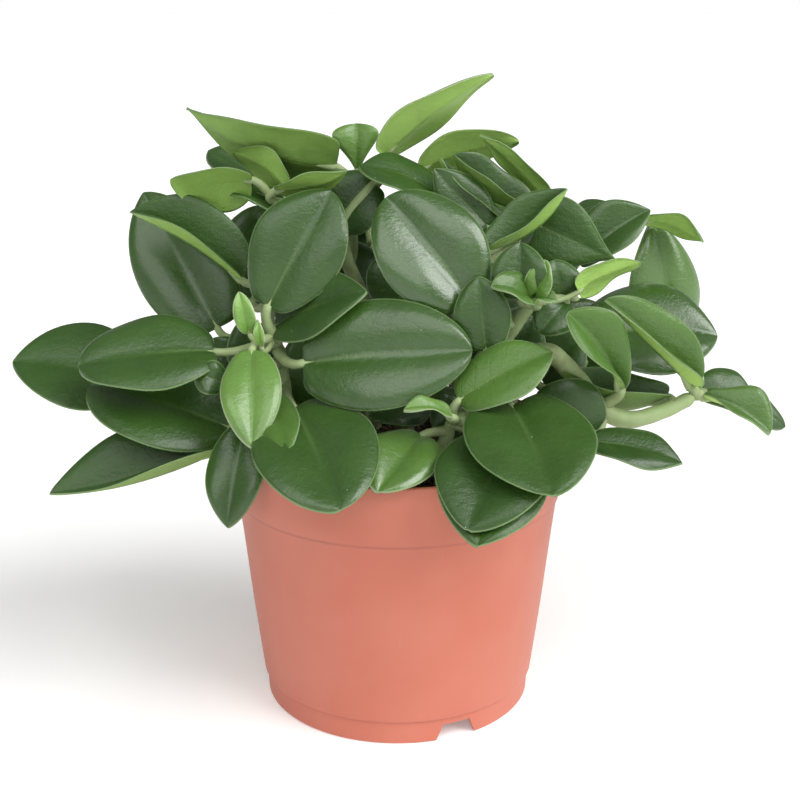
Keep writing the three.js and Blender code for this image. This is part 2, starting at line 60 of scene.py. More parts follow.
Array = np.ndarray
Piece = bpy.types.Object
Place = tuple[float, float, float]
Colour = tuple[float, float, float]
Value = Union["Link", float, Colour]

# What a vertex says of itself to the materials: its place on a blade, from the midrib (0) to the margins
# (-1 and 1) and from the base (0) to the tip (1), its distance from the margin in millimetres, which face
# it is on, and the tone, youth and gloss of its leaf.
VALUES = ("across", "along", "inward", "upper", "tone", "youth", "gloss")

# Material numbers in a leafy stem.
BLADE, STALK, HAIR = range(3)

# Directions that no bar and no hair runs in, to start the directions across them.
BAR_ASKEW = (0.31, 0.22, 0.93)
HAIR_ASKEW = (0.21, 0.13, 0.97)


def unit(vector: Array) -> Array:
    """Returns the vector, or each row of vectors, at length 1."""
    return vector / np.linalg.norm(vector, axis=-1, keepdims=True)


def direction(azimuth: float, elevation: float) -> Array:
    """The direction at an azimuth from +X towards +Y and an elevation above level, in degrees."""
    a, e = math.radians(azimuth), math.radians(elevation)
    return np.array([math.cos(e) * math.cos(a), math.cos(e) * math.sin(a), math.sin(e)])


def smooth(value: Array, low: float, high: float) -> Array:
    """Rises smoothly from 0 at low to 1 at high."""
    share = np.clip((value - low) / (high - low), 0, 1)
    return share * share * (3 - 2 * share)


def turned(corners: Iterable[tuple[float, float]], sides: int) -> Array:
    """Rings of points round the pot's axis.

    Args:
        corners: Radius and height of each ring.
        sides: How many points each ring has.

    Returns:
        The points, ring by ring.
    """
    angles = np.linspace(0, 2 * np.pi, sides, endpoint=False)
    spokes = np.stack([np.cos(angles), np.sin(angles), np.zeros(sides)], axis=-1)
    return np.array([radius * spokes + (0, 0, height) for radius, height in corners])


@dataclass
class Form:
    """The points, faces and values of one piece, gathered part by part.

    Attributes:
        points: Arrays of points, in millimetres.
        faces: Corner numbers of each face.
        slots: Material number of each face.
        values: Arrays of the numbers in VALUES, one row for each point.
    """

    points: list[Array] = field(default_factory=list)
    faces: list[tuple[int, ...]] = field(default_factory=list)
    slots: list[int] = field(default_factory=list)
    values: dict[str, list[Array]] = field(default_factory=lambda: {name: [] for name in VALUES})

    def add(self, points: Array, faces: Iterable[Sequence[int]], slot: int = 0, **values: Any) -> None:
        """Adds a closed body.

        Args:
            points: One row for each point, in millimetres.
            faces: Corner numbers, from 0 at the body's first point.
            slot: Material number of its faces.
            values: Numbers or arrays for the names in VALUES, which are 0 otherwise.
        """
        start = sum(len(rows) for rows in self.points)
        self.points.append(points)
        made = [tuple(int(corner) + start for corner in face) for face in faces]
        self.faces.extend(made)
        self.slots.extend([slot] * len(made))
        for name in VALUES:
            self.values[name].append(np.broadcast_to(values.get(name, 0.0), len(points)).astype(np.float32))

    def add_rings(self, rings: Array, ends: Array, slot: int = 0, flip: bool = False, **values: Any) -> None:
        """Adds a closed body made of rings of points.

        Args:
            rings: The points, ring by ring.
            ends: The middle points that close the first and the last ring.
            slot: Material number of its faces.
            flip: Turns the faces over, for rings that run from the top down.
            values: Numbers, or one for each ring, for the names in VALUES.
        """
        count, sides = rings.shape[:2]
        first = count * sides
        last = first - sides
        faces = []
        for k in range(sides):
            after = (k + 1) % sides
            faces += [(first, after, k), (first + 1, last + k, last + after)]
            for near in range(0, last, sides):
                far = near + sides
                faces.append((near + k, near + after, far + after, far + k))
        if flip:
            faces = [(face[0], *face[:0:-1]) for face in faces]
        spread = {}
        for name, value in values.items():
            rows = np.broadcast_to(value, count)
            spread[name] = np.concatenate([np.repeat(rows, sides), rows[[0, -1]]])
        self.add(np.concatenate([rings.reshape(-1, 3), ends]), faces, slot, **spread)

    def add_hairs(self, roots: Array, ways: Array, lengths: Array, radius: float) -> None:
        """Adds hairs as slim closed spikes, sunk a little at their roots.

        Args:
            roots: Where they stand.
            ways: Their directions.
            lengths: Their lengths.
            radius: Their radius at the root.
        """
        sunk = 0.06
        right = unit(np.cross(ways, HAIR_ASKEW))
        up = np.cross(ways, right)
        corners = [
            roots - ways * sunk + (right * math.cos(angle) + up * math.sin(angle)) * radius
            for angle in np.arange(3) * 2 * np.pi / 3
        ]
        points = np.stack([*corners, roots + ways * lengths[:, None]], axis=1).reshape(-1, 3)
        faces = []
        for k in range(0, len(points), 4):
            faces += [(k, k + 1, k + 3), (k + 1, k + 2, k + 3), (k + 2, k, k + 3), (k, k + 2, k + 1)]
        self.add(points, faces, HAIR, along=np.tile([0.0, 0.0, 0.0, 1.0], len(roots)))

    def build(self, name: str, materials: Sequence[bpy.types.Material], crease: float = 180) -> Piece:
        """Makes the piece.

        Args:
            name: The piece's name.
            materials: Its materials, in the order of the slots' numbers.
            crease: Edges sharper than this many degrees stay sharp.

        Returns:
            The new object, in metres.
        """
        mesh = bpy.data.meshes.new(name)
        mesh.from_pydata((np.concatenate(self.points) * MM).tolist(), [], self.faces)
        for material in materials:
            mesh.materials.append(material)
        mesh.polygons.foreach_set("material_index", self.slots)
        for value, rows in self.values.items():
            layer = mesh.attributes.new(value, "FLOAT", "POINT")
            layer.data.foreach_set("value", np.concatenate(rows))
        mesh.shade_smooth()
        if crease < 180:
            mesh.set_sharp_from_angle(angle=math.radians(crease))
        mesh.update()
        piece = bpy.data.objects.new(name, mesh)
        bpy.context.scene.collection.objects.link(piece)
        return piece


@dataclass
class Tube:
    """A round bar along a path, of changing thickness.

    Attributes:
        path: Its centres, one row for each station.
        radii: Its radius at each station.
        sides: How many sides it has.
    """

    path: Array
    radii: Array
    sides: int

    def __post_init__(self) -> None:
        """Works out two directions across the bar at each station, carried along it untwisted."""
        headings = unit(np.gradient(self.path, axis=0))
        rights = [unit(np.cross(headings[0], BAR_ASKEW))]
        for heading in headings[1:]:
            rights.append(unit(rights[-1] - heading * rights[-1].dot(heading)))
        self.rights = np.array(rights)
        self.ups = np.cross(headings, self.rights)

    def add_to(self, form: Form, slot: int, **values: Any) -> None:
        """Adds the bar to a form as a closed body.

        Args:
            form: What it is added to.
            slot: Its material's number.
            values: Numbers, or one for each station, for the names in VALUES.
        """
        angles = np.linspace(0, 2 * np.pi, self.sides, endpoint=False)[:, None]
        spokes = self.rights[:, None] * np.cos(angles) + self.ups[:, None] * np.sin(angles)
        rings = self.path[:, None] + spokes * self.radii[:, None, None]
        form.add_rings(rings, self.path[[0, -1]], slot, **values)

    def add_fur(self, form: Form, rng: np.random.Generator, density: float, length: float) -> None:
        """Adds hairs all over the bar's side, clear of its ends.

        Args:
            form: What they are added to.
            rng: Gives the draws.
            density: Hairs on each millimetre of the bar.
            length: Their greatest length.
        """
        clear, radius, lean, shortest = 0.04, 0.0288, 0.3, 0.4
        count = int(np.linalg.norm(np.diff(self.path, axis=0), axis=1).sum() * density)
        if count < 1:
            return
        stations = rng.uniform(clear, 1 - clear, count) * (len(self.path) - 1)
        low = stations.astype(int)
        part = (stations - low)[:, None]
        rows = np.hstack([self.path, self.rights, self.ups, self.radii[:, None]])
        rows = rows[low] * (1 - part) + rows[low + 1] * part
        places, rights, ups, radii = np.split(rows, (3, 6, 9), axis=1)
        angles = rng.uniform(0, 2 * np.pi, count)[:, None]
        out = unit(rights * np.cos(angles) + ups * np.sin(angles))
        ways = unit(out + rng.normal(0, lean, (count, 3)))
        form.add_hairs(places + out * radii, ways, rng.uniform(shortest, 1.0, count) * length, radius)


class Route:
    """A smooth path through given places: a centripetal Catmull-Rom curve."""

    def __init__(self, places: Sequence[Place]) -> None:
        """Keeps the places, with one more beyond each end."""
        knots = [np.array(place, float) for place in places]
        self.knots = [2 * knots[0] - knots[1], *knots, 2 * knots[-1] - knots[-2]]

    def point(self, share: float) -> Array:
        """The point at a share of the route.

        Args:
            share: From 0 at its start to 1 at its end.

        Returns:
            The point.
        """
        spans = len(self.knots) - 3
        span = min(int(share * spans), spans - 1)
        ease = share * spans - span
        a, b, c, d = self.knots[span:span + 4]
        first, middle, last = (math.sqrt(np.linalg.norm(q - p)) for p, q in ((a, b), (b, c), (c, d)))
        leave = middle * ((b - a) / first - (c - a) / (first + middle) + (c - b) / middle)
        arrive = middle * ((c - b) / middle - (d - b) / (middle + last) + (d - c) / last)
        square, cube = 3 * (c - b) - 2 * leave - arrive, 2 * (b - c) + leave + arrive
        return b + leave * ease + square * ease ** 2 + cube * ease ** 3

    def heading(self, share: float) -> Array:
        """The direction of the route at a share of it."""
        step = 1e-4
        return unit(self.point(min(1, share + step)) - self.point(max(0, share - step)))


class Link:
    """A number, colour or vector that a shader's nodes give, ready for maths."""

    def __init__(self, shader: "Shader", socket: bpy.types.NodeSocket) -> None:
        """Wraps one output socket of a shader's node."""
        self.shader = shader
        self.socket = socket

    def maths(self, operation: str, *values: Value) -> "Link":
        """The result of a Math node with these inputs, in order."""
        return self.shader.node("ShaderNodeMath", {"operation": operation}, dict(enumerate(values)))

    def __add__(self, other: Value) -> "Link":
        """Self plus other."""
        return self.maths("ADD", self, other)

    __radd__ = __add__

    def __sub__(self, other: Value) -> "Link":
        """Self less other."""
        return self.maths("SUBTRACT", self, other)

    def __rsub__(self, other: Value) -> "Link":
        """Other less self."""
        return self.maths("SUBTRACT", other, self)

    def __mul__(self, other: Value) -> "Link":
        """Self times other."""
        return self.maths("MULTIPLY", self, other)

    __rmul__ = __mul__

    def __abs__(self) -> "Link":
        """Self without its sign."""
        return self.maths("ABSOLUTE", self)

    def cosine(self) -> "Link":
        """The cosine of self, in radians."""
        return self.maths("COSINE", self)

    def step(self, low: float, high: float) -> "Link":
        """Rises smoothly from 0 to 1, or falls where low is the greater.

        Args:
            low: Where the step is 0.
            high: Where it is 1.

        Returns:
            The step.
        """
        settings = {"interpolation_type": "SMOOTHSTEP"}
        ends = {"Value": self, "From Min": low, "From Max": high}
        if low > high:
            ends.update({"From Min": high, "From Max": low, "To Min": 1.0, "To Max": 0.0})
        return self.shader.node("ShaderNodeMapRange", settings, ends)


class Shader:
    """The nodes of one material, or of the surround."""

    def __init__(self, owner: Union[bpy.types.Material, bpy.types.World]) -> None:
        """Clears the nodes of a new material or surround.

        Args:
            owner: The material or surround.
        """
        owner.use_nodes = True
        self.owner = owner
        self.tree = owner.node_tree
        self.tree.nodes.clear()

    def node(self, kind: str, settings: dict[str, Any], inputs: dict[Any, Value], out: Any = 0) -> Link:
        """Adds a node.

        Args:
            kind: The node's type.
            settings: Its properties, which are set first.
            inputs: Numbers, colours or links by the name or number of the socket.
            out: Name or number of the output wanted.

        Returns:
            That output.
        """
        made = self.tree.nodes.new(kind)
        for name, setting in settings.items():
            setattr(made, name, setting)
        for name, value in inputs.items():
            socket = made.inputs[name]
            if isinstance(value, Link):
                self.tree.links.new(value.socket, socket)
            elif isinstance(value, tuple) and socket.type == "RGBA":
                socket.default_value = (*value, 1)
            else:
                socket.default_value = value
        return Link(self, made.outputs[out])

    def value(self, name: str) -> Link:
        """One of the numbers in VALUES, at the shaded point."""
        return self.node("ShaderNodeAttribute", {"attribute_name": name}, {}, "Fac")

    def place(self, kind: str = "Object") -> Link:
        """The shaded point, in metres, or the direction from the middle of the surround."""
        return self.node("ShaderNodeTexCoord", {}, {}, kind)

    def up(self, kind: str = "Object") -> Link:
        """How high the shaded point or direction is."""
        return self.node("ShaderNodeSeparateXYZ", {}, {"Vector": self.place(kind)}, "Z")

    def grain(self, size: float, detail: float = 2, stretch: Place = (1, 1, 1)) -> Link:
        """Noise of one size.

        Args:
            size: Length of its waves, in millimetres.
            detail: How many finer layers it has.
            stretch: How many times finer it is along each axis.

        Returns:
            A number from 0 to 1.
        """
        place = self.node("ShaderNodeMapping", {}, {"Vector": self.place(), "Scale": stretch})
        inputs = {"Vector": place, "Scale": 1 / (size * MM), "Detail": detail}
        return self.node("ShaderNodeTexNoise", {}, inputs)

    def specks(self, size: float, reach: float) -> Link:
        """1 in small round spots, one in each cell of a size in millimetres, and 0 outside them."""
        inputs = {"Vector": self.place(), "Scale": 1 / (size * MM)}
        return self.node("ShaderNodeTexVoronoi", {}, inputs, "Distance").step(reach, reach * 0.6)

    def mix(self, share: Value, first: Value, second: Value) -> Link:
        """Goes from the first colour to the second as share goes from 0 to 1."""
        return self.node("ShaderNodeMix", {"data_type": "RGBA"}, {0: share, 6: first, 7: second}, 2)

    def bump(self, height: Value, depth: float) -> Link:
        """The normal of a height of 0 to 1, where 1 stands that many millimetres above 0."""
        return self.node("ShaderNodeBump", {}, {"Height": height, "Strength": 1.0, "Distance": depth * MM})

    def finish(self, inputs: dict[str, Value]) -> bpy.types.Material:
        """Ends the material in one Principled shader.

        Args:
            inputs: The shader's sockets.

        Returns:
            The material.
        """
        surface = self.node("ShaderNodeBsdfPrincipled", {}, inputs)
        end = self.tree.nodes.new("ShaderNodeOutputMaterial")
        self.tree.links.new(surface.socket, end.inputs["Surface"])
        return self.owner


@dataclass(frozen=True)
class PotPlastic:
    """Satin moulded plastic, terracotta-coloured, a little uneven and faintly scuffed, with painted shade
    under the band's step.
    """

    colour: Colour = (0.490, 0.136, 0.084)
    worn: Colour = (0.540, 0.186, 0.128)
    # The next two lines paint shade along the band's lower edge, under its step: its colour and the heights
    # it spans.
    corner: Colour = (0.260, 0.070, 0.045)
    band_shade: tuple[float, float] = (74.7, 76.4)  # heights between which the band's lower edge is darker
    roughness: float = 0.44

    def dress(self) -> bpy.types.Material:
        """Returns the material."""
        shader = Shader(bpy.data.materials.new("pot_plastic"))
        cloud = shader.grain(28, 3)
        fine = shader.grain(0.5, 2)
        scuff = shader.grain(2.2, 3, (1, 1, 0.12)).step(0.62, 0.75) * cloud.step(0.4, 0.7)
        # The mask of the painted shade along the band's lower edge, under its step.
        low, high = self.band_shade
        height = shader.up() * (1 / MM)
        band_shade = height.step(low, low + 0.8) * height.step(high, high - 0.5)
        colour = shader.mix(cloud.step(0.3, 0.7) * 0.35 + scuff * 0.25, self.colour, self.worn)
        # Mixes in the painted shade under the band's step, in patches.
        colour = shader.mix(band_shade * (cloud * 0.5 + 0.15), colour, self.corner)
        return shader.finish({
            "Base Color": colour,
            "Roughness": fine * 0.12 + scuff * 0.15 + self.roughness,
            "Normal": shader.bump(fine * 0.7 + cloud * 0.3, 0.03),
        })


@dataclass(frozen=True)
class SoilCrumb:
    """Moist dark peat with paler bits of bark and root."""

    wet: Colour = (0.012, 0.007, 0.004)
    dry: Colour = (0.075, 0.042, 0.022)
    bark: Colour = (0.16, 0.085, 0.04)

    def dress(self) -> bpy.types.Material:
        """Returns the material."""
        shader = Shader(bpy.data.materials.new("potting_soil"))
        lumps = shader.grain(2.5, 4)
        fibres = shader.grain(1.2, 3, (1, 6, 1))
        colour = shader.mix(lumps.step(0.35, 0.75), self.wet, self.dry)
        colour = shader.mix(shader.value("tone") * fibres.step(0.3, 0.6), colour, self.bark)
        return shader.finish({
            "Base Color": colour,
            "Roughness": 0.95 - lumps * 0.2,
            "Normal": shader.bump(lumps * 0.6 + fibres * 0.4, 0.6),
        })


@dataclass(frozen=True)
class LeafSkin:
    """The skin of a blade: waxy and dark above, paler and duller below, with a pale margin. The undersides
    are brightened with painted light, as if shining through the blade, and the darkest tones paint shade on
    leaves deep in the plant.
    """

    # The darkest tone takes the deepest green, which partly paints shade on leaves deep in the plant.
    deep: Colour = (0.020, 0.056, 0.008)
    mid: Colour = (0.043, 0.108, 0.014)
    young: Colour = (0.170, 0.330, 0.060)
    # The undersides' pale greens are brightened with painted light, as if shining through the blade.
    under: Colour = (0.360, 0.590, 0.125)
    # The darkest underside partly paints shade on leaves deep in the plant.
    under_old_shaded: Colour = (0.090, 0.180, 0.035)
    under_young: Colour = (0.440, 0.680, 0.180)
    rib: Colour = (0.110, 0.190, 0.050)
    margin: Colour = (0.170, 0.270, 0.105)
    margin_young: Colour = (0.480, 0.560, 0.360)
    fleck: Colour = (0.480, 0.540, 0.380)
    roughness: float = 0.34

    def dress(self) -> bpy.types.Material:
        """Returns the material."""
        shader = Shader(bpy.data.materials.new("leaf_skin"))
        across, along, inward, upper, tone, youth, gloss = (shader.value(name) for name in VALUES)
        away = abs(across)
        cloud = shader.grain(11, 3)
        wrinkles = shader.grain(2.4, 3, (1, 1, 1.8))
        pores = shader.grain(0.7, 3)
        fade = away.step(1.0, 0.5) * along.step(0.95, 0.6)
        veins = ((along * 6 - away * 1.1) * (2 * math.pi)).cosine().step(0.9, 1.0) * fade
        rib = away.step(0.07, 0.0) * along.step(0.8, 0.1)
        edge = inward.step(0.55, 0.1)
        # The darkest tones partly paint shade on leaves deep in the plant, above and below.
        top = shader.mix(tone * 0.8 + cloud * 0.7 - 0.2, self.deep, self.mid)
        top = shader.mix(youth * (0.7 + cloud * 0.6), top, self.young)
        top = shader.mix(rib * 0.45, top, self.rib)
        top = shader.mix(shader.specks(6, 0.03), top, self.fleck)
        # Undersides, brightened with painted light as if shining through the blade.
        below = shader.mix(tone * 1.3 + cloud * 0.3 - 0.2, self.under_old_shaded, self.under)
        below = shader.mix(youth * 0.9, below, self.under_young)
        below = shader.mix(rib * 0.1 + (1 - cloud.step(0.2, 0.5)) * 0.15, below, self.mid)
        colour = shader.mix(upper, below, top)
        rim = shader.mix(youth, self.margin, self.margin_young)
        colour = shader.mix(edge * 0.8, colour, rim)
        height = pores * 0.4 + wrinkles * (gloss * 0.2 + 0.75) + cloud * 0.8 - rib * 0.3 - veins * 0.08
        return shader.finish({
            "Base Color": colour,
            "Roughness": self.roughness + (1 - upper) * 0.18 - gloss * 0.14 + cloud * 0.2,
            "Specular IOR Level": 0.45,
            "Coat Weight": upper * gloss,
            "Coat Roughness": 0.25,
            "Normal": shader.bump(height, 0.35),
        })


@dataclass(frozen=True)
class StalkSkin:
    """The skin of stems and stalks: pale green, brownish at their roots, faintly ribbed."""

    green: Colour = (0.280, 0.370, 0.165)
    brown: Colour = (0.150, 0.125, 0.055)
    young: Colour = (0.340, 0.430, 0.200)

    def dress(self) -> bpy.types.Material:
        """Returns the material."""
        shader = Shader(bpy.data.materials.new("stalk_skin"))
        cloud = shader.grain(5, 3)
        streaks = shader.grain(0.8, 3)
        along = shader.value("along")
        colour = shader.mix(along.step(0.9, 0.1) * cloud.step(0.35, 0.7), self.green, self.brown)
        colour = shader.mix(shader.value("youth") * 0.8 + streaks * 0.2, colour, self.young)
        return shader.finish({
            "Base Color": colour,
            "Roughness": 0.5 + streaks * 0.15,
            "Normal": shader.bump(streaks * 0.6 + cloud * 0.4, 0.12),
        })


@dataclass(frozen=True)
class Down:
    """The fine pale hairs of margins, stalks and stems."""

    root: Colour = (0.28, 0.36, 0.19)
    tip: Colour = (0.60, 0.64, 0.50)

    def dress(self) -> bpy.types.Material:
        """Returns the material."""
        shader = Shader(bpy.data.materials.new("down"))
        colour = shader.mix(shader.value("along"), self.root, self.tip)
        return shader.finish({"Base Color": colour, "Roughness": 0.55})


@dataclass(frozen=True)
class StudioPaper:
    """The pale seamless paper that the pot stands on. It glows a little, as painted light that keeps it
    white and lights the plant from below.
    """

    colour: Colour = (0.92, 0.92, 0.92)
    # Painted light: the paper glows though it is no lamp.
    glow: float = 0.2

    def dress(self) -> bpy.types.Material:
        """Returns the material."""
        shader = Shader(bpy.data.materials.new("studio_paper"))
        return shader.finish({
            "Base Color": self.colour,
            "Roughness": 0.95,
            "Emission Color": (1.0, 1.0, 1.0),
            "Emission Strength": self.glow,
        })


class Age(Enum):
    """How old a leaf is: its tone, from deep (0) to mid green (1), and its youth. The darkest tone partly
    paints shade on leaves deep inside the plant.
    """

    OLD_SHADED = (0.15, 0.0)
    GROWN = (0.5, 0.0)
    FRESH = (0.8, 0.25)
    YOUNG = (0.9, 0.6)
    BUD = (1.0, 1.0)


OLD_SHADED, GROWN, FRESH, YOUNG, BUD = Age


@dataclass(frozen=True)
class Leaf:
    """One leaf, as it lies on the plant.

    Attributes:
        base: Where its blade starts.
        tip: Where its blade ends.
        face: Azimuth and elevation that its upper face looks towards, in degrees.
        wide: Its greatest width.
        age: How old it is. The darkest age also paints shade on leaves deep in the plant.
        fold: Degrees that its halves rise from the midrib.
        cup: How many degrees more they rise at its base.
        arch: Millimetres that its middle stands above the line from base to tip.
        belly: Share of its length at which it is widest.
        point: How pointed its tip is: 0.5 is round, and 1 runs in straight.
        heart: How far the lobes reach behind its base, as a share of its width.
        stalk: Its stalk's radius.
        gloss: How glossy and rumpled its skin is, from 0 to 1.
    """

    base: Place
    tip: Place
    face: tuple[float, float]
    wide: float
    age: Age = GROWN
    fold: float = 8
    cup: float = 0
    arch: float = 2
    belly: float = 0.46
    point: float = 0.6
    heart: float = 0.05
    stalk: float = 1.6
    gloss: float = 0.25


@dataclass(frozen=True)
class BladeShape:
    """The sizes that all blades share."""

    edge_wave: float = 0.7
    edge_turns: float = 9  # radians of the margin's wave, from base to tip
    crown: float = 0.03  # how far each half swells, as a share of its width
    curl: float = 0.5  # how far the margin turns down
    curl_start: float = 0.75  # share of a half at which it starts to turn
    ripple: float = 0.3
    ripple_turns: tuple[float, float] = (7, 4)  # radians of a ripple, along and across
    lobe_place: float = 0.06
    thickness: float = 1.15
    edge: float = 0.36
    margin: float = 1.25  # a margin's length next to the blade's
    rows: int = 30
    columns: int = 19


BLADES = BladeShape()


class Blade:
    """The blade of one leaf."""

    def __init__(self, leaf: Leaf, phase: float) -> None:
        """Works out how the blade lies: along its axis, across it, and out of its upper face.

        Args:
            leaf: What the leaf is like.
            phase: Moves the waves of its margin, so that no two leaves are alike.
        """
        self.leaf = leaf
        self.phase = phase
        self.base = np.array(leaf.base, float)
        self.axis = np.array(leaf.tip, float) - self.base
        ahead = unit(self.axis)
        facing = direction(*leaf.face)
        self.normal = unit(facing - ahead * facing.dot(ahead))
        self.side = np.cross(self.normal, ahead)

    def outline(self, along: Array) -> Array:
        """Half the width at shares of the length, as a share of its greatest."""
        swell = along ** (math.log(0.5) / math.log(self.leaf.belly))
        return np.maximum(0, np.sin(np.pi * swell)) ** (0.5 + (self.leaf.point - 0.5) * along)

    def middle(self, along: Array, across: Array) -> Array:
        """Points of the blade's middle surface.

        Args:
            along: From 0 at the base to 1 at the tip.
            across: From -1 to 1, margin to margin.

        Returns:
            One row for each point.
        """
        leaf = self.leaf
        away = np.abs(across)
        width = self.outline(along)
        reach = leaf.wide / 2 * width * across
        tilt = np.radians(leaf.fold + leaf.cup * (1 - along) ** 2)
        wave = BLADES.edge_wave * across ** 2 * np.sin(BLADES.edge_turns * along + self.phase + across)
        crown = BLADES.crown * (1 + leaf.gloss) * leaf.wide * width * 4 * away * (1 - away)
        curl = BLADES.curl * smooth(away, BLADES.curl_start, 1.0)
        long, short = BLADES.ripple_turns
        ripple = BLADES.ripple * np.sin(long * along + 2.3 * self.phase)
        ripple = ripple * np.sin(short * across + self.phase)
        rise = leaf.arch * (1 - (2 * along - 1) ** 2) + np.abs(reach) * np.sin(tilt)
        rise = rise + wave + crown - curl + ripple * width * (0.6 + leaf.gloss)
        near = along / BLADES.lobe_place
        back = leaf.heart * leaf.wide * away ** 1.5 * near * np.exp(1 - near)
        ahead = along - back / np.linalg.norm(self.axis)
        shares = np.stack([ahead, reach * np.cos(tilt), rise], axis=-1)
        return self.base + shares @ np.array([self.axis, self.side, self.normal])

    def half_thickness(self, away: Array) -> Array:
        """Half the blade's thickness, from the midrib (0) to the margin (1)."""
        slim = min(1.0, 0.4 + self.leaf.wide / 30)
        return slim * (BLADES.edge + (BLADES.thickness - BLADES.edge) * (1 - away ** 3)) / 2

    def add_to(self, form: Form, **values: Any) -> None:
        """Adds the blade to a form as a closed body.

        Args:
            form: What it is added to.
            values: The leaf's tone, youth and gloss.
        """
        rows, columns = BLADES.rows, BLADES.columns
        turn = np.linspace(0, np.pi, rows + 2)[1:-1]
        stations = (1 - np.cos(turn)) / 2
        even = np.linspace(-1, 1, columns)
        shares = 0.6 * even + 0.4 * np.sin(np.pi / 2 * even)
        along, across = np.meshgrid(stations, shares, indexing="ij")
        along = np.concatenate([[0, 1], along.ravel()])
        across = np.concatenate([[0, 0], across.ravel()])
        middle = self.middle(along, across)
        ends = np.minimum(1, 0.5 + 8 * np.minimum(along, 1 - along))
        offset = self.normal * (self.half_thickness(np.abs(across)) * ends)[:, None]
        count = len(middle)

        def at(row: int, column: int) -> int:
            """Number of a point of the upper face, after its two ends."""
            return 2 + row * columns + column

        top = []
        for c in range(columns - 1):
            top += [(0, at(0, c), at(0, c + 1)), (1, at(rows - 1, c + 1), at(rows - 1, c))]
            top += [(at(r, c), at(r + 1, c), at(r + 1, c + 1), at(r, c + 1)) for r in range(rows - 1)]
        faces = top + [tuple(count + corner for corner in reversed(face)) for face in top]
        left = [0, *(at(r, 0) for r in range(rows)), 1]
        right = [0, *(at(r, columns - 1) for r in range(rows)), 1]
        faces += [(near, near + count, far + count, far) for near, far in zip(left, left[1:])]
        faces += [(far, far + count, near + count, near) for near, far in zip(right, right[1:])]
        inward = self.leaf.wide / 2 * self.outline(along) * (1 - np.abs(across))
        form.add(
            np.concatenate([middle + offset, middle - offset]),
            faces,
            BLADE,
            along=np.tile(along, 2),
            across=np.tile(across, 2),
            inward=np.tile(inward, 2),
            upper=np.repeat([1.0, 0.0], count),
            **values,
        )

    def margin_hairs(self, rng: np.random.Generator, pitch: float) -> tuple[Array, Array, Array]:
        """Where hairs stand along both margins.

        Args:
            rng: Gives the draws.
            pitch: Millimetres between hairs.

        Returns:
            Their roots, their directions, and how long they are next to the longest: short at the tip.
        """
        fewest, stray, inner, lean = 10, 0.004, 0.97, 0.35
        length = np.linalg.norm(self.axis)
        count = max(fewest, int(length * BLADES.margin / pitch))
        turn = np.linspace(0.03, 0.985, count) * np.pi
        along = (1 - np.cos(turn)) / 2
        along = np.tile(np.clip(along + rng.normal(0, stray, count), 0.004, 0.998), 2)
        across = np.repeat([-1.0, 1.0], count)
        roots = self.middle(along, across)
        out = unit(roots - self.middle(along, across * inner))
        leans = rng.normal(0, lean, (2 * count, 3)) + unit(self.axis) * lean
        return roots, unit(out + leans), 1 - 0.9 * smooth(along, 0.85, 0.99)


@dataclass(frozen=True)
class Stem:
    """A leafy stem.

    Attributes:
        node: The name that it has in the frame.
        route: Its path, from inside the soil up.
        leaves: Its leaves.
        radius: Its radius.
    """

    node: str
    route: tuple[Place, ...]
    leaves: tuple[Leaf, ...]
    radius: float = 2.4


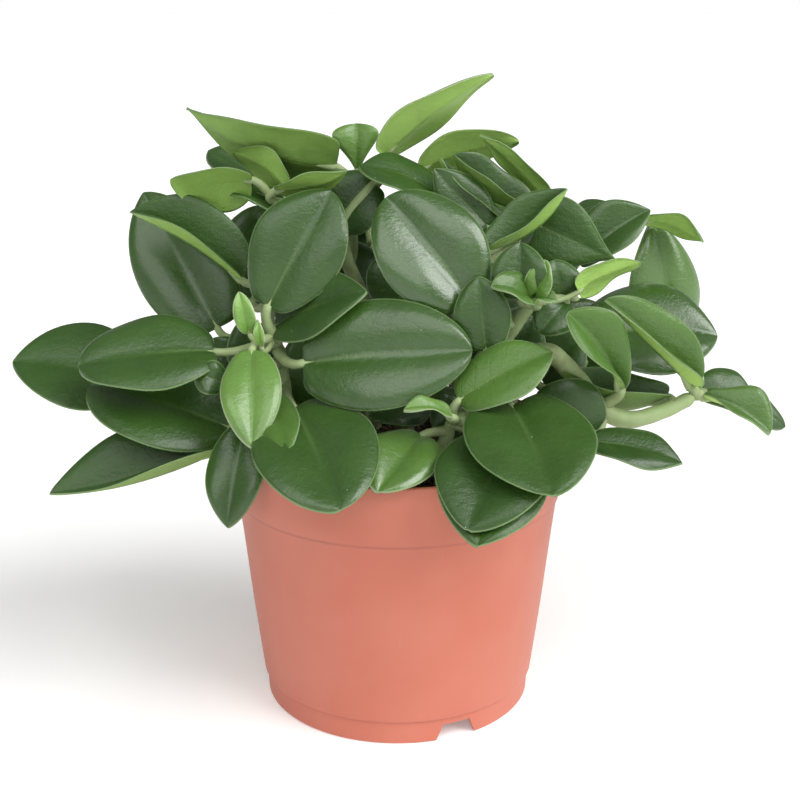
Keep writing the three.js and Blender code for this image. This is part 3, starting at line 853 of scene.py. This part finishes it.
FRONT_STEMS = (
    Stem("stem_front_left", (
        (-30, -8, 74), (-32, -8, 90), (-38, -9, 104), (-39, -10, 118), (-41, -13, 134),
    ), (
        Leaf((-61, -18, 130), (-105, -26, 127), (-90, 58), 34, fold=6, point=0.5),
        Leaf((-43, -16, 145), (-22, -5, 182), (-95, 18), 32, OLD_SHADED, belly=0.5, stalk=1.9, gloss=0.3),
        Leaf((-48, -24, 132), (-46, -50, 107), (-90, 42), 20, YOUNG, point=0.7, gloss=0.6),
        Leaf((-44, -20, 116), (-34, -58, 108), (-85, 55), 15, FRESH, fold=3, point=0.75),
        Leaf((-50, -31, 108), (-55, -48, 79), (-100, 30), 20, point=0.75, gloss=0.4),
        Leaf((-34, -30, 114), (-17, -76, 96), (-95, 64), 40, belly=0.5, point=0.5, heart=0.12, gloss=0.5),
        Leaf((-31, -25, 128), (24, -35, 135), (-92, 30), 38, belly=0.45, point=0.5, stalk=1.8, gloss=0.7),
        Leaf((-41, -11, 137), (-10, -26, 152), (-95, 50), 27, OLD_SHADED, point=0.75, gloss=0),
        Leaf((-57, -26, 121), (-67, -26, 125), (-90, 30), 12, OLD_SHADED),
        Leaf((-49, -20, 137), (-52, -20, 151), (-90, 20), 8, BUD, fold=25, stalk=1),
        Leaf((-45, -22, 133), (-46, -22, 142), (-90, 10), 4, BUD, fold=25, stalk=1),
    )),
    Stem("stem_left", ((-40, 2, 74), (-44, 2, 92), (-50, 0, 108), (-60, 4, 116), (-74, 8, 118)), (
        Leaf((-88, 8, 112), (-135, 2, 121), (-98, 58), 42, belly=0.52, point=0.75, gloss=0),
        Leaf((-57, -20, 104), (-105, -14, 117), (-90, 58), 40, point=0.5),
        Leaf(
            (-59, -28, 99), (-115, -36, 86), (-92, 73), 37, OLD_SHADED,
            fold=38, cup=12, arch=-4, point=0.7, gloss=0,
        ),
        Leaf((-52, 5, 110), (-66, 3, 129), (-90, 25), 22, OLD_SHADED),
        Leaf((-49, 4, 114), (-53, 2, 137), (-90, 25), 18, OLD_SHADED, gloss=0),
    )),
    Stem("stem_back_left", (
        (-26, 16, 74), (-32, 16, 98), (-44, 14, 122), (-46, 10, 142), (-44, 10, 162), (-42, 12, 172),
    ), (
        Leaf((-64, 12, 131), (-92, 34, 176), (-98, 32), 35, fold=4, belly=0.42, point=0.65, gloss=0.5),
        Leaf((-54, 4, 150), (-92, 8, 173), (-53, 49), 33, fold=55, point=0.7),
        Leaf((-50, 8, 184), (-77, 4, 184), (90, 42), 24, fold=-16, arch=-1, belly=0.42, point=0.7),
        Leaf((-37, 13, 170), (-58, 10, 179), (-90, 70), 15, fold=20),
        Leaf((-45, 26, 178), (-68, 34, 191), (-90, 60), 20, OLD_SHADED),
        Leaf((-52, 18, 140), (-50, 30, 172), (-85, 25), 28, OLD_SHADED),
        Leaf((-39, 15, 170), (-54, 15, 177), (90, 65), 13),
        Leaf((-28, 10, 104), (-34, 10, 130), (-90, 20), 24, OLD_SHADED),
    )),
    Stem("stem_top_left", ((-10, 18, 74), (-12, 18, 110), (-16, 18, 150), (-16, 20, 176), (-14, 24, 184)), (
        Leaf((-21, 12, 188), (-73, 22, 207), (100, 47), 32, arch=-6, belly=0.24, point=1),
        Leaf((-38, 10, 181), (-56, 12, 193), (80, 45), 18),
        Leaf((-41, 4, 181), (-17, 0, 188), (90, 60), 16, arch=-2),
        Leaf((-14, 28, 182), (-15, 30, 201), (-92, 34), 17, YOUNG, fold=14, belly=0.8, point=0.5, stalk=1.9),
        Leaf((-17, 14, 139), (-17, 22, 161), (-90, 20), 26, OLD_SHADED),
    )),
    Stem("stem_top", (
        (4, 10, 74), (2, 12, 110), (-12, 10, 142), (-19, 6, 166), (-10, 7, 180), (-2, 17, 187),
    ), (
        Leaf((-4, 20, 191), (32, 8, 219), (128, 48), 26, YOUNG, belly=0.36, point=0.85),
        Leaf((14, 6, 179), (-13, 2, 189), (-92, 66), 25, OLD_SHADED, point=0.75, gloss=0),
        Leaf((-8, 8, 183), (-24, 8, 167), (-107, 20), 24, OLD_SHADED, gloss=0),
        Leaf((8, 20, 186), (42, 18, 196), (85, 52), 24, FRESH, point=0.7),
        Leaf((0, 4, 138), (4, 10, 161), (-90, 20), 26, OLD_SHADED),
        Leaf((16, 10, 150), (10, 14, 178), (-90, 20), 28, OLD_SHADED),
        Leaf((8, 2, 110), (-10, -14, 106), (-95, 40), 25, OLD_SHADED),
    )),
    Stem("stem_centre", ((20, -6, 74), (22, -8, 100), (28, -12, 124), (37, -16, 136), (44, -19, 147)), (
        Leaf((24, -22, 148), (-4, -8, 180), (-100, 35), 36, point=0.5, gloss=1),
        Leaf((29, -27, 133), (26, -25, 157), (-95, 15), 19, OLD_SHADED),
        Leaf((40, -21, 149), (40, -19, 167), (-100, 35), 19, fold=15),
        Leaf((43, -23, 148), (30, -30, 155), (-90, 55), 15, FRESH, fold=25, point=0.5),
        Leaf((45, -22, 149), (48, -23, 162), (-100, 20), 10, YOUNG, fold=25, point=0.5, stalk=1),
        Leaf((54, -12, 146), (52, -12, 160), (-85, 25), 16, point=0.5),
        Leaf((56, -14, 146), (47, -20, 137), (-85, 35), 15, OLD_SHADED, point=0.5),
        Leaf((60, -16, 150), (80, -16, 160), (95, 40), 14, FRESH, belly=0.3, point=0.75, stalk=1.1),
        Leaf((26, -18, 112), (12, -26, 106), (-80, 40), 20, OLD_SHADED),
        Leaf((45, -22, 147), (52, -27, 149), (-80, 60), 8, FRESH, fold=25, stalk=1),
        Leaf((38, 1, 119), (47, 3, 137), (-85, 30), 20, OLD_SHADED, gloss=0),
        Leaf((34, -5, 116), (27, -7, 136), (-90, 20), 16, OLD_SHADED, gloss=0),
    ), radius=3),
    Stem("stem_top_right", ((26, 12, 74), (28, 12, 104), (34, 12, 134), (40, 12, 160), (44, 12, 172)), (
        Leaf((51, 10, 177), (28, 9, 199), (90, 60), 12, arch=1, belly=0.32, point=0.8),
        Leaf((43, 4, 175), (19, 4, 193), (-41, 45), 24, fold=59, arch=-6, point=0.7),
        Leaf((35, 0, 172), (14, 1, 192), (-38, 41), 14, fold=59, arch=-5, point=0.7),
        Leaf((31, -2, 169), (12, -2, 189), (-110, 35), 17, OLD_SHADED, fold=4, arch=-1, point=0.9),
        Leaf((30, -12, 163), (56, -8, 183), (-136, 47), 24, fold=56, arch=-5, point=0.7),
        Leaf((48, 5, 169), (76, 1, 157), (-100, 12), 25, fold=4, belly=0.2, point=1.4, gloss=0),
    )),
    Stem("stem_upper_right", ((34, 2, 74), (38, 4, 100), (48, 10, 124), (58, 16, 144), (62, 18, 152)), (
        Leaf((64, 18, 154), (89, 19, 172), (-108, 37), 24, fold=32, point=0.7, gloss=0.4),
        Leaf((60, 26, 167), (79, 29, 172), (-90, 80), 13, OLD_SHADED),
        Leaf((88, 22, 168), (108, 17, 161), (90, 55), 15, point=0.8),
        Leaf((99, 26, 122), (92, 30, 168), (-72, 24), 29, FRESH, fold=5, belly=0.42, point=0.9, gloss=1),
        Leaf((51, 14, 117), (72, 16, 139), (-90, 25), 26, OLD_SHADED),
    )),
    Stem("stem_right", ((40, -8, 74), (46, -8, 96), (56, -6, 112), (64, -4, 122)), (
        Leaf((67, 7, 130), (112, 4, 130), (-75, 50), 41, gloss=0.9),
        Leaf((54, 2, 107), (76, 4, 118), (-85, 40), 24, OLD_SHADED),
        Leaf((50, 2, 116), (64, -1, 130), (-90, 40), 24, OLD_SHADED, gloss=0),
    )),
    Stem("stem_right_front", (
        (30, -10, 74), (35, -9, 100), (41, -11, 122), (50, -14, 129), (60, -17, 121), (68, -19, 111),
        (77, -20, 107), (89, -18, 109), (102, -14, 114),
    ), (
        Leaf(
            (100, -15, 117), (67, -28, 150), (-40, 28), 26, FRESH,
            fold=44, cup=30, arch=0, point=0.65, stalk=2.1,
        ),
        Leaf(
            (74, -24, 119), (54, -35, 147), (-50, 12), 24, FRESH,
            fold=34, cup=50, belly=0.62, point=0.5, stalk=2, gloss=0,
        ),
        Leaf((92, -14, 113), (55, -19, 123), (-56, 70), 28, OLD_SHADED, fold=62, arch=-10, stalk=2, gloss=0),
        Leaf((104, -8, 114), (123, -6, 111), (-90, 50), 18),
        Leaf((104, -14, 113), (125, -24, 103), (-60, 50), 21, FRESH, fold=35, cup=20, belly=0.6, point=0.5),
        Leaf((116, -4, 110), (135, -7, 100), (-90, 40), 11, OLD_SHADED),
        Leaf((101, -13, 114), (101, -12, 125), (-90, 10), 6, BUD, fold=25, stalk=1),
        Leaf((66, -25, 104), (47, -23, 118), (-90, 16), 25, OLD_SHADED),
    ), radius=3.2),
    Stem("stem_front_right", ((12, -22, 74), (14, -26, 92), (16, -32, 104), (18, -36, 112)), (
        Leaf((20, -38, 119), (50, -34, 134), (-85, 55), 23, FRESH, point=0.65, gloss=0),
        Leaf((17, -43, 115), (2, -48, 119), (-90, 70), 10, YOUNG, fold=30),
        Leaf((8, -38, 107), (-6, -66, 98), (-92, 50), 24, FRESH, point=0.55, gloss=0.9),
        Leaf((37, -34, 116), (46, -77, 101), (-85, 66), 42, point=0.5, heart=0.12, gloss=0),
        Leaf((36, -46, 108), (21, -79, 91), (-95, 55), 36, point=0.6, gloss=0),
        Leaf((34, -42, 103), (24, -80, 86), (-95, 55), 35, point=0.7),
    )),
    Stem("stem_low_right", ((38, -28, 74), (41, -30, 92), (47, -33, 102), (56, -33, 103)), (
        Leaf((64, -30, 102), (94, -34, 96), (-90, 66), 19, OLD_SHADED, point=0.75),
    )),
)


@dataclass(frozen=True)
class Tier:
    """A pair of leaves on a rear stem.

    Attributes:
        height: Where the pair grows.
        length: Its leaves' length.
        lift: Degrees that they rise, or droop where it is negative.
        wide: Their width.
        face_lift: Elevation that their upper faces look towards.
    """

    height: float
    length: float
    lift: float
    wide: float
    face_lift: float


@dataclass(frozen=True)
class RearStem:
    """A stem on the side away from the front. It leans out at its azimuth, with leaves in pairs.

    Attributes:
        node: The name that it has in the frame.
        azimuth: Degrees from +X.
        rise: How much higher than the rule its leaves grow.
        seed: Where its draws start.
    """

    node: str
    azimuth: float
    rise: float
    seed: int

    TIERS = (Tier(107, 42, -14, 29, 78), Tier(124, 41, 4, 28, 74), Tier(141, 36, 24, 26, 62))
    TOP = Tier(157, 26, 50, 18, 40)
    ROUTE = ((32, 74), (33, 98), (34, 126), (36, 157))
    BLADE_RADIUS = 40
    BLADE_SPREAD = 2
    PAIR_TURN = 6.5
    PAIR_STEP = 8
    DRAW_FACTOR = 1664525
    DRAW_STEP = 1013904223
    DRAW_RANGE = 2 ** 32

    def grown(self) -> Stem:
        """Returns the stem that the rule gives."""
        state = self.seed

        def draw() -> float:
            """The next draw, from 0 to 1."""
            nonlocal state
            state = (state * self.DRAW_FACTOR + self.DRAW_STEP) % self.DRAW_RANGE
            return state / self.DRAW_RANGE

        def out(turn: float, radius: float, height: float) -> Place:
            """The place at an azimuth, a distance from the axis and a height."""
            angle = math.radians(turn)
            return (radius * math.cos(angle), radius * math.sin(angle), height)

        def leaf(turn: float, height: float, tier: Tier) -> Leaf:
            """A leaf of a tier, at an azimuth and a height."""
            base = out(turn, self.BLADE_RADIUS + self.BLADE_SPREAD * draw(), height)
            tip = np.array(base) + direction(turn, tier.lift) * tier.length
            # Rear leaves take the darkest tone, which partly paints the shade they stand in.
            return Leaf(base, tuple(tip), (turn, tier.face_lift), tier.wide, OLD_SHADED, fold=5)

        leaves = []
        for tier in self.TIERS:
            height = tier.height + self.rise
            leaves.append(leaf(self.azimuth - self.PAIR_TURN - draw(), height, tier))
            leaves.append(leaf(self.azimuth + self.PAIR_TURN + draw(), height + self.PAIR_STEP, tier))
        leaves.append(leaf(self.azimuth, self.TOP.height + self.rise, self.TOP))
        route = tuple(out(self.azimuth, radius, height) for radius, height in self.ROUTE)
        return Stem(self.node, route, tuple(leaves))


REAR_STEMS = (
    RearStem("stem_rear_left", 132, 0, 5),
    RearStem("stem_rear_mid_left", 105, 4, 11),
    RearStem("stem_rear_mid_right", 77, 0, 23),
    RearStem("stem_rear_right", 50, 4, 42),
)


@dataclass
class Foliage:
    """All the leafy stems, each one piece with its stalks, blades and hairs."""

    seed: int = 100
    stations: int = 14  # rings of points for each span of a stem's path
    knee: float = 0.05  # how much thicker a stem is between its places
    taper: float = 0.25  # how much slimmer it is at its top
    stem_sides: int = 20
    stalk_sides: int = 12
    stalk_bend: float = 0.4
    stalk_sag: float = 0.1
    flare: float = 0.35  # how much thicker a stalk is at its root
    slim: float = 0.14  # how much slimmer it is at its blade
    rib_start: float = 0.85  # a midrib's radius at its blade's base, next to its stalk's
    rib_taper: float = 5.5
    rib_end: float = 0.16  # share of a blade at which its midrib ends
    rib_sink: float = 0.7
    rib_step: float = 0.3
    tone_spread: float = 0.16  # how much leaves of one age differ
    free_rings: int = 12  # rings of points along a stalk, from its root to its blade
    rib_rings: int = 6
    margin_pitch: float = 0.75
    margin_hair: tuple[float, float] = (0.25, 0.6)  # shortest and longest
    youth_hair: float = 0.6  # how much longer they are on the youngest leaves
    stalk_hairs: float = 3.0  # for each millimetre of stalk
    stalk_hair: float = 0.7
    stem_hairs: float = 5.0
    stem_hair: float = 0.9
    hair_radius: float = 0.036

    def build(self) -> list[Piece]:
        """Builds every leafy stem in the place of its node.

        Returns:
            The pieces.
        """
        materials = [LeafSkin().dress(), StalkSkin().dress(), Down().dress()]
        stems = [*FRONT_STEMS, *(stem.grown() for stem in REAR_STEMS)]
        pieces = []
        for number, stem in enumerate(stems):
            form = self.grow(stem, np.random.default_rng(self.seed + number))
            piece = form.build(stem.node.replace("stem", "leaves"), materials)
            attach(piece, "root")
            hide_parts(stem.node)
            pieces.append(piece)
        return pieces

    def grow(self, stem: Stem, rng: np.random.Generator) -> Form:
        """Builds one leafy stem.

        Args:
            stem: What it is like.
            rng: Gives the draws.

        Returns:
            Its form.
        """
        form = Form()
        route = Route(stem.route)
        spans = len(stem.route) - 1
        share = np.linspace(0, 1, self.stations * spans)
        path = np.array([route.point(at) for at in share])
        knees = 1 + self.knee * np.sin(share * 2 * np.pi * spans) ** 2
        end = (1 - self.taper * smooth(share, 0.6, 1)) * (1 - smooth(share, 0.96, 1.02))
        bar = Tube(path, stem.radius * knees * end, self.stem_sides)
        bar.add_to(form, STALK, along=share)
        bar.add_fur(form, rng, self.stem_hairs, self.stem_hair)
        for order, leaf in enumerate(stem.leaves):
            self.leaf(form, rng, Blade(leaf, 2 * order), route)
        return form

    def leaf(self, form: Form, rng: np.random.Generator, blade: Blade, route: Route) -> None:
        """Adds one leaf with its stalk, midrib and hairs.

        Args:
            form: The stem's form.
            rng: Gives the draws.
            blade: The leaf's blade.
            route: The stem's path.
        """
        tone, youth = blade.leaf.age.value
        tone = np.clip(tone + rng.normal(0, self.tone_spread), 0, 1)
        blade.add_to(form, tone=tone, youth=youth, gloss=blade.leaf.gloss)
        stalk = self.stalk(blade, route)
        stalk.add_to(form, STALK, along=np.linspace(0.3, 1, len(stalk.path)), youth=0.25 + 0.75 * youth)
        roots, ways, long = blade.margin_hairs(rng, self.margin_pitch)
        lengths = rng.uniform(*self.margin_hair, len(roots)) * (1 + self.youth_hair * youth) * long
        form.add_hairs(roots, ways, lengths, self.hair_radius)
        stalk.add_fur(form, rng, self.stalk_hairs, self.stalk_hair)

    def stalk(self, blade: Blade, route: Route) -> Tube:
        """A stalk from its stem to its blade, which it runs on under as the midrib.

        Args:
            blade: The blade that it carries.
            route: The stem's path.

        Returns:
            The stalk.
        """
        lowest, tries = 4, 40
        shares = np.arange(lowest, tries + 1) / tries
        places = np.array([route.point(share) for share in shares])
        gaps = np.linalg.norm(places - blade.base, axis=1)
        nearest = int(gaps.argmin())
        root, away = places[nearest], gaps[nearest]
        bend = blade.base - unit(blade.axis) * away * self.stalk_bend
        bend = bend - route.heading(shares[nearest]) * away * self.stalk_sag
        share = np.linspace(0, 1, self.free_rings)[:, None]
        free = root * (1 - share) ** 2 + bend * 2 * share * (1 - share) + blade.base * share ** 2
        under = np.linspace(0.01, self.rib_end, self.rib_rings)
        thick = blade.leaf.stalk * self.rib_start * (1 - self.rib_taper * under)
        drop = thick * self.rib_sink - self.rib_step
        rib = blade.middle(under, np.zeros(len(under))) - blade.normal * drop[:, None]
        flare = 1 + self.flare * (1 - smooth(share[:, 0], 0, 0.3))
        thin = blade.leaf.stalk * (1 - self.slim * smooth(share[:, 0], 0.2, 1.0))
        return Tube(np.concatenate([free, rib]), np.concatenate([thin * flare, thick]), self.stalk_sides)


@dataclass
class NurseryPot:
    """The moulded pot: a tapered wall over a foot, with a smooth band under its rim."""

    top_radius: float = 60
    height: float = 97
    wall: float = 1.6
    foot_radius: float = 47.8
    foot_taper: float = 0.4
    ledge_radius: float = 49.2
    ledge_height: float = 9
    ledge_slope: float = 0.8
    band_height: float = 76
    band_step: float = 0.5
    band_slope: float = 0.6
    draw_in: tuple[float, float] = (30, 70)  # heights between which the wall slims by the band's step
    floor: float = 7
    notch_count: int = 3
    notch_angle: float = -65
    notch_height: float = 6
    notch_bottom: float = 15
    notch_top: float = 10
    drain_count: int = 6
    drain_radius: float = 4
    drain_circle: float = 34
    drain_angle: float = 30
    sides: int = 192
    crease: float = 28

    def wall_radius(self, height: float) -> float:
        """Radius of the pot's outside at a height, on its straight taper."""
        rise = (height - self.ledge_height) / (self.height - self.ledge_height)
        return self.ledge_radius + (self.top_radius - self.ledge_radius) * rise

    def profile(self) -> list[tuple[float, float]]:
        """The turned shape, from the floor's lower middle round to its upper one.

        Returns:
            Radius and height of each corner.
        """
        wall, foot, soft = self.wall, self.foot_radius, 0.3
        band, ledge = self.band_height, self.ledge_height
        lip = wall / 2
        middle, top = self.top_radius - lip, self.height - lip
        steps = np.linspace(band, top, 5)[1:-1].tolist()
        long = np.linspace(ledge + 1, band - 1, 13).tolist()
        turns = np.linspace(0, math.pi, 9).tolist()
        return [
            (0, self.floor),
            (foot - wall - 1, self.floor),
            (foot - wall, self.floor - 1),
            (foot - wall, soft),
            (foot - wall + soft, 0),
            (foot - soft, 0),
            (foot, soft),
            (foot + self.foot_taper, ledge - self.ledge_slope),
            (self.ledge_radius - soft / 2, ledge - soft),
            (self.ledge_radius, ledge),
            *((self.wall_radius(z) - self.band_step * smooth(z, *self.draw_in), z) for z in long),
            (self.wall_radius(band) - self.band_step, band - self.band_slope),
            (self.wall_radius(band) - 0.1, band - 0.15),
            (self.wall_radius(band), band),
            *((self.wall_radius(z), z) for z in steps),
            *((middle + lip * math.cos(turn), top + lip * math.sin(turn)) for turn in turns),
            (self.wall_radius(ledge) - wall, ledge),
            (self.wall_radius(ledge) - 2 * wall, self.floor + wall),
            (0, self.floor + wall),
        ]

    def build(self) -> Piece:
        """Builds the pot in the place of its node.

        Returns:
            The piece.
        """
        bottom, *corners, top = self.profile()
        form = Form()
        form.add_rings(turned(corners, self.sides), turned([bottom, top], 1)[:, 0])
        pot = form.build("nursery_pot", [PotPlastic().dress()], self.crease)
        self.cut(pot)
        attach(pot, "root")
        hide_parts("pot")
        return pot

    def cut(self, pot: Piece) -> None:
        """Cuts the water notches through the foot and the drain holes through the floor.

        Args:
            pot: The turned pot.
        """
        form = Form()
        below = 1.0
        slope = (self.notch_bottom - self.notch_top) / 2 / self.notch_height
        low = self.notch_bottom / 2 + slope * below
        high, rise = self.notch_top / 2, self.notch_height
        faces = [(0, 3, 2, 1), (4, 5, 6, 7), (0, 1, 5, 4), (1, 2, 6, 5), (2, 3, 7, 6), (3, 0, 4, 7)]
        for k in range(self.notch_count):
            angle = self.notch_angle + 360 * k / self.notch_count
            out, side = direction(angle, 0), direction(angle + 90, 0)
            points = [
                out * (self.foot_radius + way * high) + side * width + (0, 0, height)
                for way in (-1, 1)
                for width, height in ((-low, -below), (low, -below), (high, rise), (-high, rise))
            ]
            form.add(np.array(points), faces)
        for k in range(self.drain_count):
            centre = direction(self.drain_angle + 360 * k / self.drain_count, 0) * self.drain_circle
            ends = np.array([[0, 0, self.floor - self.wall], [0, 0, self.floor + 2 * self.wall]])
            Tube(centre + ends, np.full(2, self.drain_radius), 32).add_to(form, 0)
        cutter = form.build("cutter", [])
        cutting = pot.modifiers.new("holes", "BOOLEAN")
        cutting.operation = "DIFFERENCE"
        cutting.solver = "EXACT"
        cutting.object = cutter
        view = bpy.context.evaluated_depsgraph_get()
        carved = bpy.data.meshes.new_from_object(pot.evaluated_get(view))
        pot.modifiers.clear()
        pot.data = carved
        bpy.data.objects.remove(cutter)
        carved.shade_smooth()
        carved.set_sharp_from_angle(angle=math.radians(self.crease))


@dataclass
class PottingSoil:
    """The soil that fills the pot, with a lumpy, crumbly top."""

    pot: NurseryPot
    top: float = 86
    corner: float = 13
    gap: float = 0.5
    lump: float = 1.5
    lump_pitch: tuple[float, float] = (20, 17)
    crumble: float = 0.9
    crumble_waves: float = 0.35  # for each millimetre
    crumble_layers: int = 5
    rings: int = 40
    sides: int = 120
    crumbs: int = 900
    crumb_size: tuple[float, float] = (0.35, 1.1)
    crumb_shape: tuple[float, float] = (0.5, 1.2)
    seed: int = 7

    def height(self, x: float, y: float) -> float:
        """The soil's top.

        Args:
            x: A place's x.
            y: Its y.

        Returns:
            Its height there.
        """
        wide, deep = self.lump_pitch
        wave = math.sin(2 * math.pi * x / wide + 2) * math.cos(2 * math.pi * y / deep)
        fade, finer = 0.8, 2.1
        rough = noise.fractal(Vector((x, y, 3)) * self.crumble_waves, fade, finer, self.crumble_layers)
        return self.top + self.lump * (1 + wave) + self.crumble * rough

    def build(self) -> Piece:
        """Builds the soil in the place of its node.

        Returns:
            The piece.
        """
        wall = self.pot.wall
        low = self.pot.floor + wall + 0.3
        clear = wall + self.gap
        edge = self.pot.wall_radius(self.top) - clear
        corner = self.pot.wall_radius(self.corner) - clear
        base = self.pot.wall_radius(low) - 2 * wall - clear
        corners = [(edge * ring / self.rings, 0) for ring in range(1, self.rings + 1)]
        rings = turned([*corners, (corner, self.corner), (base, low)], self.sides)
        for place in rings[:self.rings].reshape(-1, 3):
            place[2] = self.height(place[0], place[1])
        form = Form()
        form.add_rings(rings, np.array([(0, 0, self.height(0, 0)), (0, 0, low)]), flip=True)
        self.scatter(form, np.random.default_rng(self.seed), edge - 2)
        soil = form.build("potting_soil", [SoilCrumb().dress()])
        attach(soil, "root")
        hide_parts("soil")
        return soil

    def scatter(self, form: Form, rng: np.random.Generator, reach: float) -> None:
        """Strews crumbs of peat and bark over the top.

        Args:
            form: The soil's form.
            rng: Gives the draws.
            reach: Radius of the strewn disc.
        """
        block = np.array([(x, y, z) for x in (-1, 1) for y in (-1, 1) for z in (-1, 1)])
        faces = [(0, 1, 3, 2), (4, 6, 7, 5), (0, 4, 5, 1), (2, 3, 7, 6), (0, 2, 6, 4), (1, 5, 7, 3)]
        for _ in range(self.crumbs):
            radius = reach * math.sqrt(rng.uniform())
            angle = rng.uniform(0, 2 * math.pi)
            x, y = radius * math.cos(angle), radius * math.sin(angle)
            size = rng.uniform(*self.crumb_size) * rng.uniform(*self.crumb_shape, 3)
            turn = Matrix.Rotation(rng.uniform(0, 6), 3, Vector(rng.normal(0, 1, 3)).normalized())
            corners = block * size * rng.uniform(0.6, 1.2, (8, 1))
            points = corners @ np.array(turn) + (x, y, self.height(x, y) + 0.2)
            form.add(points, faces, tone=float(rng.uniform() ** 2))


@dataclass
class Studio:
    """Plain pale paper, soft lights, and a camera at the photograph's viewing angle."""

    aim_height: float = 107.9
    distance: float = 467
    pitch: float = 16.6
    focal: float = 1327 / 800  # in widths of the frame
    shift: float = 2.5 / 800
    paper_half: float = 30000
    sky: float = 1.0
    zenith: float = 0.25

    def build(self) -> None:
        """Sets up the paper, the light and the camera."""
        self.paper()
        self.light()
        self.camera()

    def paper(self) -> None:
        """Lays the paper."""
        half, low = self.paper_half, -0.2
        form = Form()
        corners = [(-half, -half, low), (half, -half, low), (half, half, low), (-half, half, low)]
        form.add(np.array(corners), [(0, 1, 2, 3)])
        floor = form.build("studio_paper", [StudioPaper().dress()])

    def light(self) -> None:
        """Hangs the lamps and sets the pale surround, which is white round the plant and dimmer above."""
        self.lamp("key_light", 58, 42, 42, 2.75)
        self.lamp("front_light", -15, 45, 50, 1.3)
        shader = Shader(bpy.data.worlds.new("surround"))
        strength = shader.up("Generated").step(0.25, 0.02) * (self.sky - self.zenith) + self.zenith
        sky = shader.node("ShaderNodeBackground", {}, {"Color": (1.0, 1.0, 1.0), "Strength": strength})
        end = shader.tree.nodes.new("ShaderNodeOutputWorld")
        shader.tree.links.new(sky.socket, end.inputs["Surface"])
        bpy.context.scene.world = shader.owner
        bpy.context.scene.view_settings.view_transform = "Standard"

    def lamp(self, name: str, right: float, high: float, spread: float, power: float) -> None:
        """Hangs one wide soft lamp, far away.

        Args:
            name: The lamp's name.
            right: Degrees to the right of the camera's side, seen from above.
            high: Degrees above level.
            spread: Degrees that the lamp fills, seen from the plant.
            power: Its light, in watts on each square metre.
        """
        data = bpy.data.lights.new(name, "SUN")
        data.angle = math.radians(spread)
        data.energy = power
        lamp = bpy.data.objects.new(name, data)
        lamp.rotation_euler = Vector(direction(right - 90, high)).to_track_quat("Z", "Y").to_euler()
        bpy.context.scene.collection.objects.link(lamp)

    def camera(self) -> None:
        """Places the camera."""
        data = bpy.data.cameras.new("camera")
        data.sensor_width = 36
        data.lens = self.focal * data.sensor_width
        data.shift_x = self.shift
        data.clip_start = 0.01
        camera = bpy.data.objects.new("camera", data)
        way = Vector(direction(-90, self.pitch))
        camera.location = way * self.distance * MM + Vector((0, 0, self.aim_height * MM))
        camera.rotation_euler = way.to_track_quat("Z", "Y").to_euler()
        bpy.context.scene.collection.objects.link(camera)
        bpy.context.scene.camera = camera


def main() -> None:
    """Builds the plant around the frame and reports each piece."""
    logging.basicConfig(level=logging.INFO, format="%(message)s")
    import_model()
    pot = NurseryPot()
    pieces = [pot.build(), PottingSoil(pot).build(), *Foliage().build()]
    for piece in pieces:
        LOG.info("%s: %d faces", piece.name, len(piece.data.polygons))
    Studio().build()


if __name__ == "__main__":
    main()
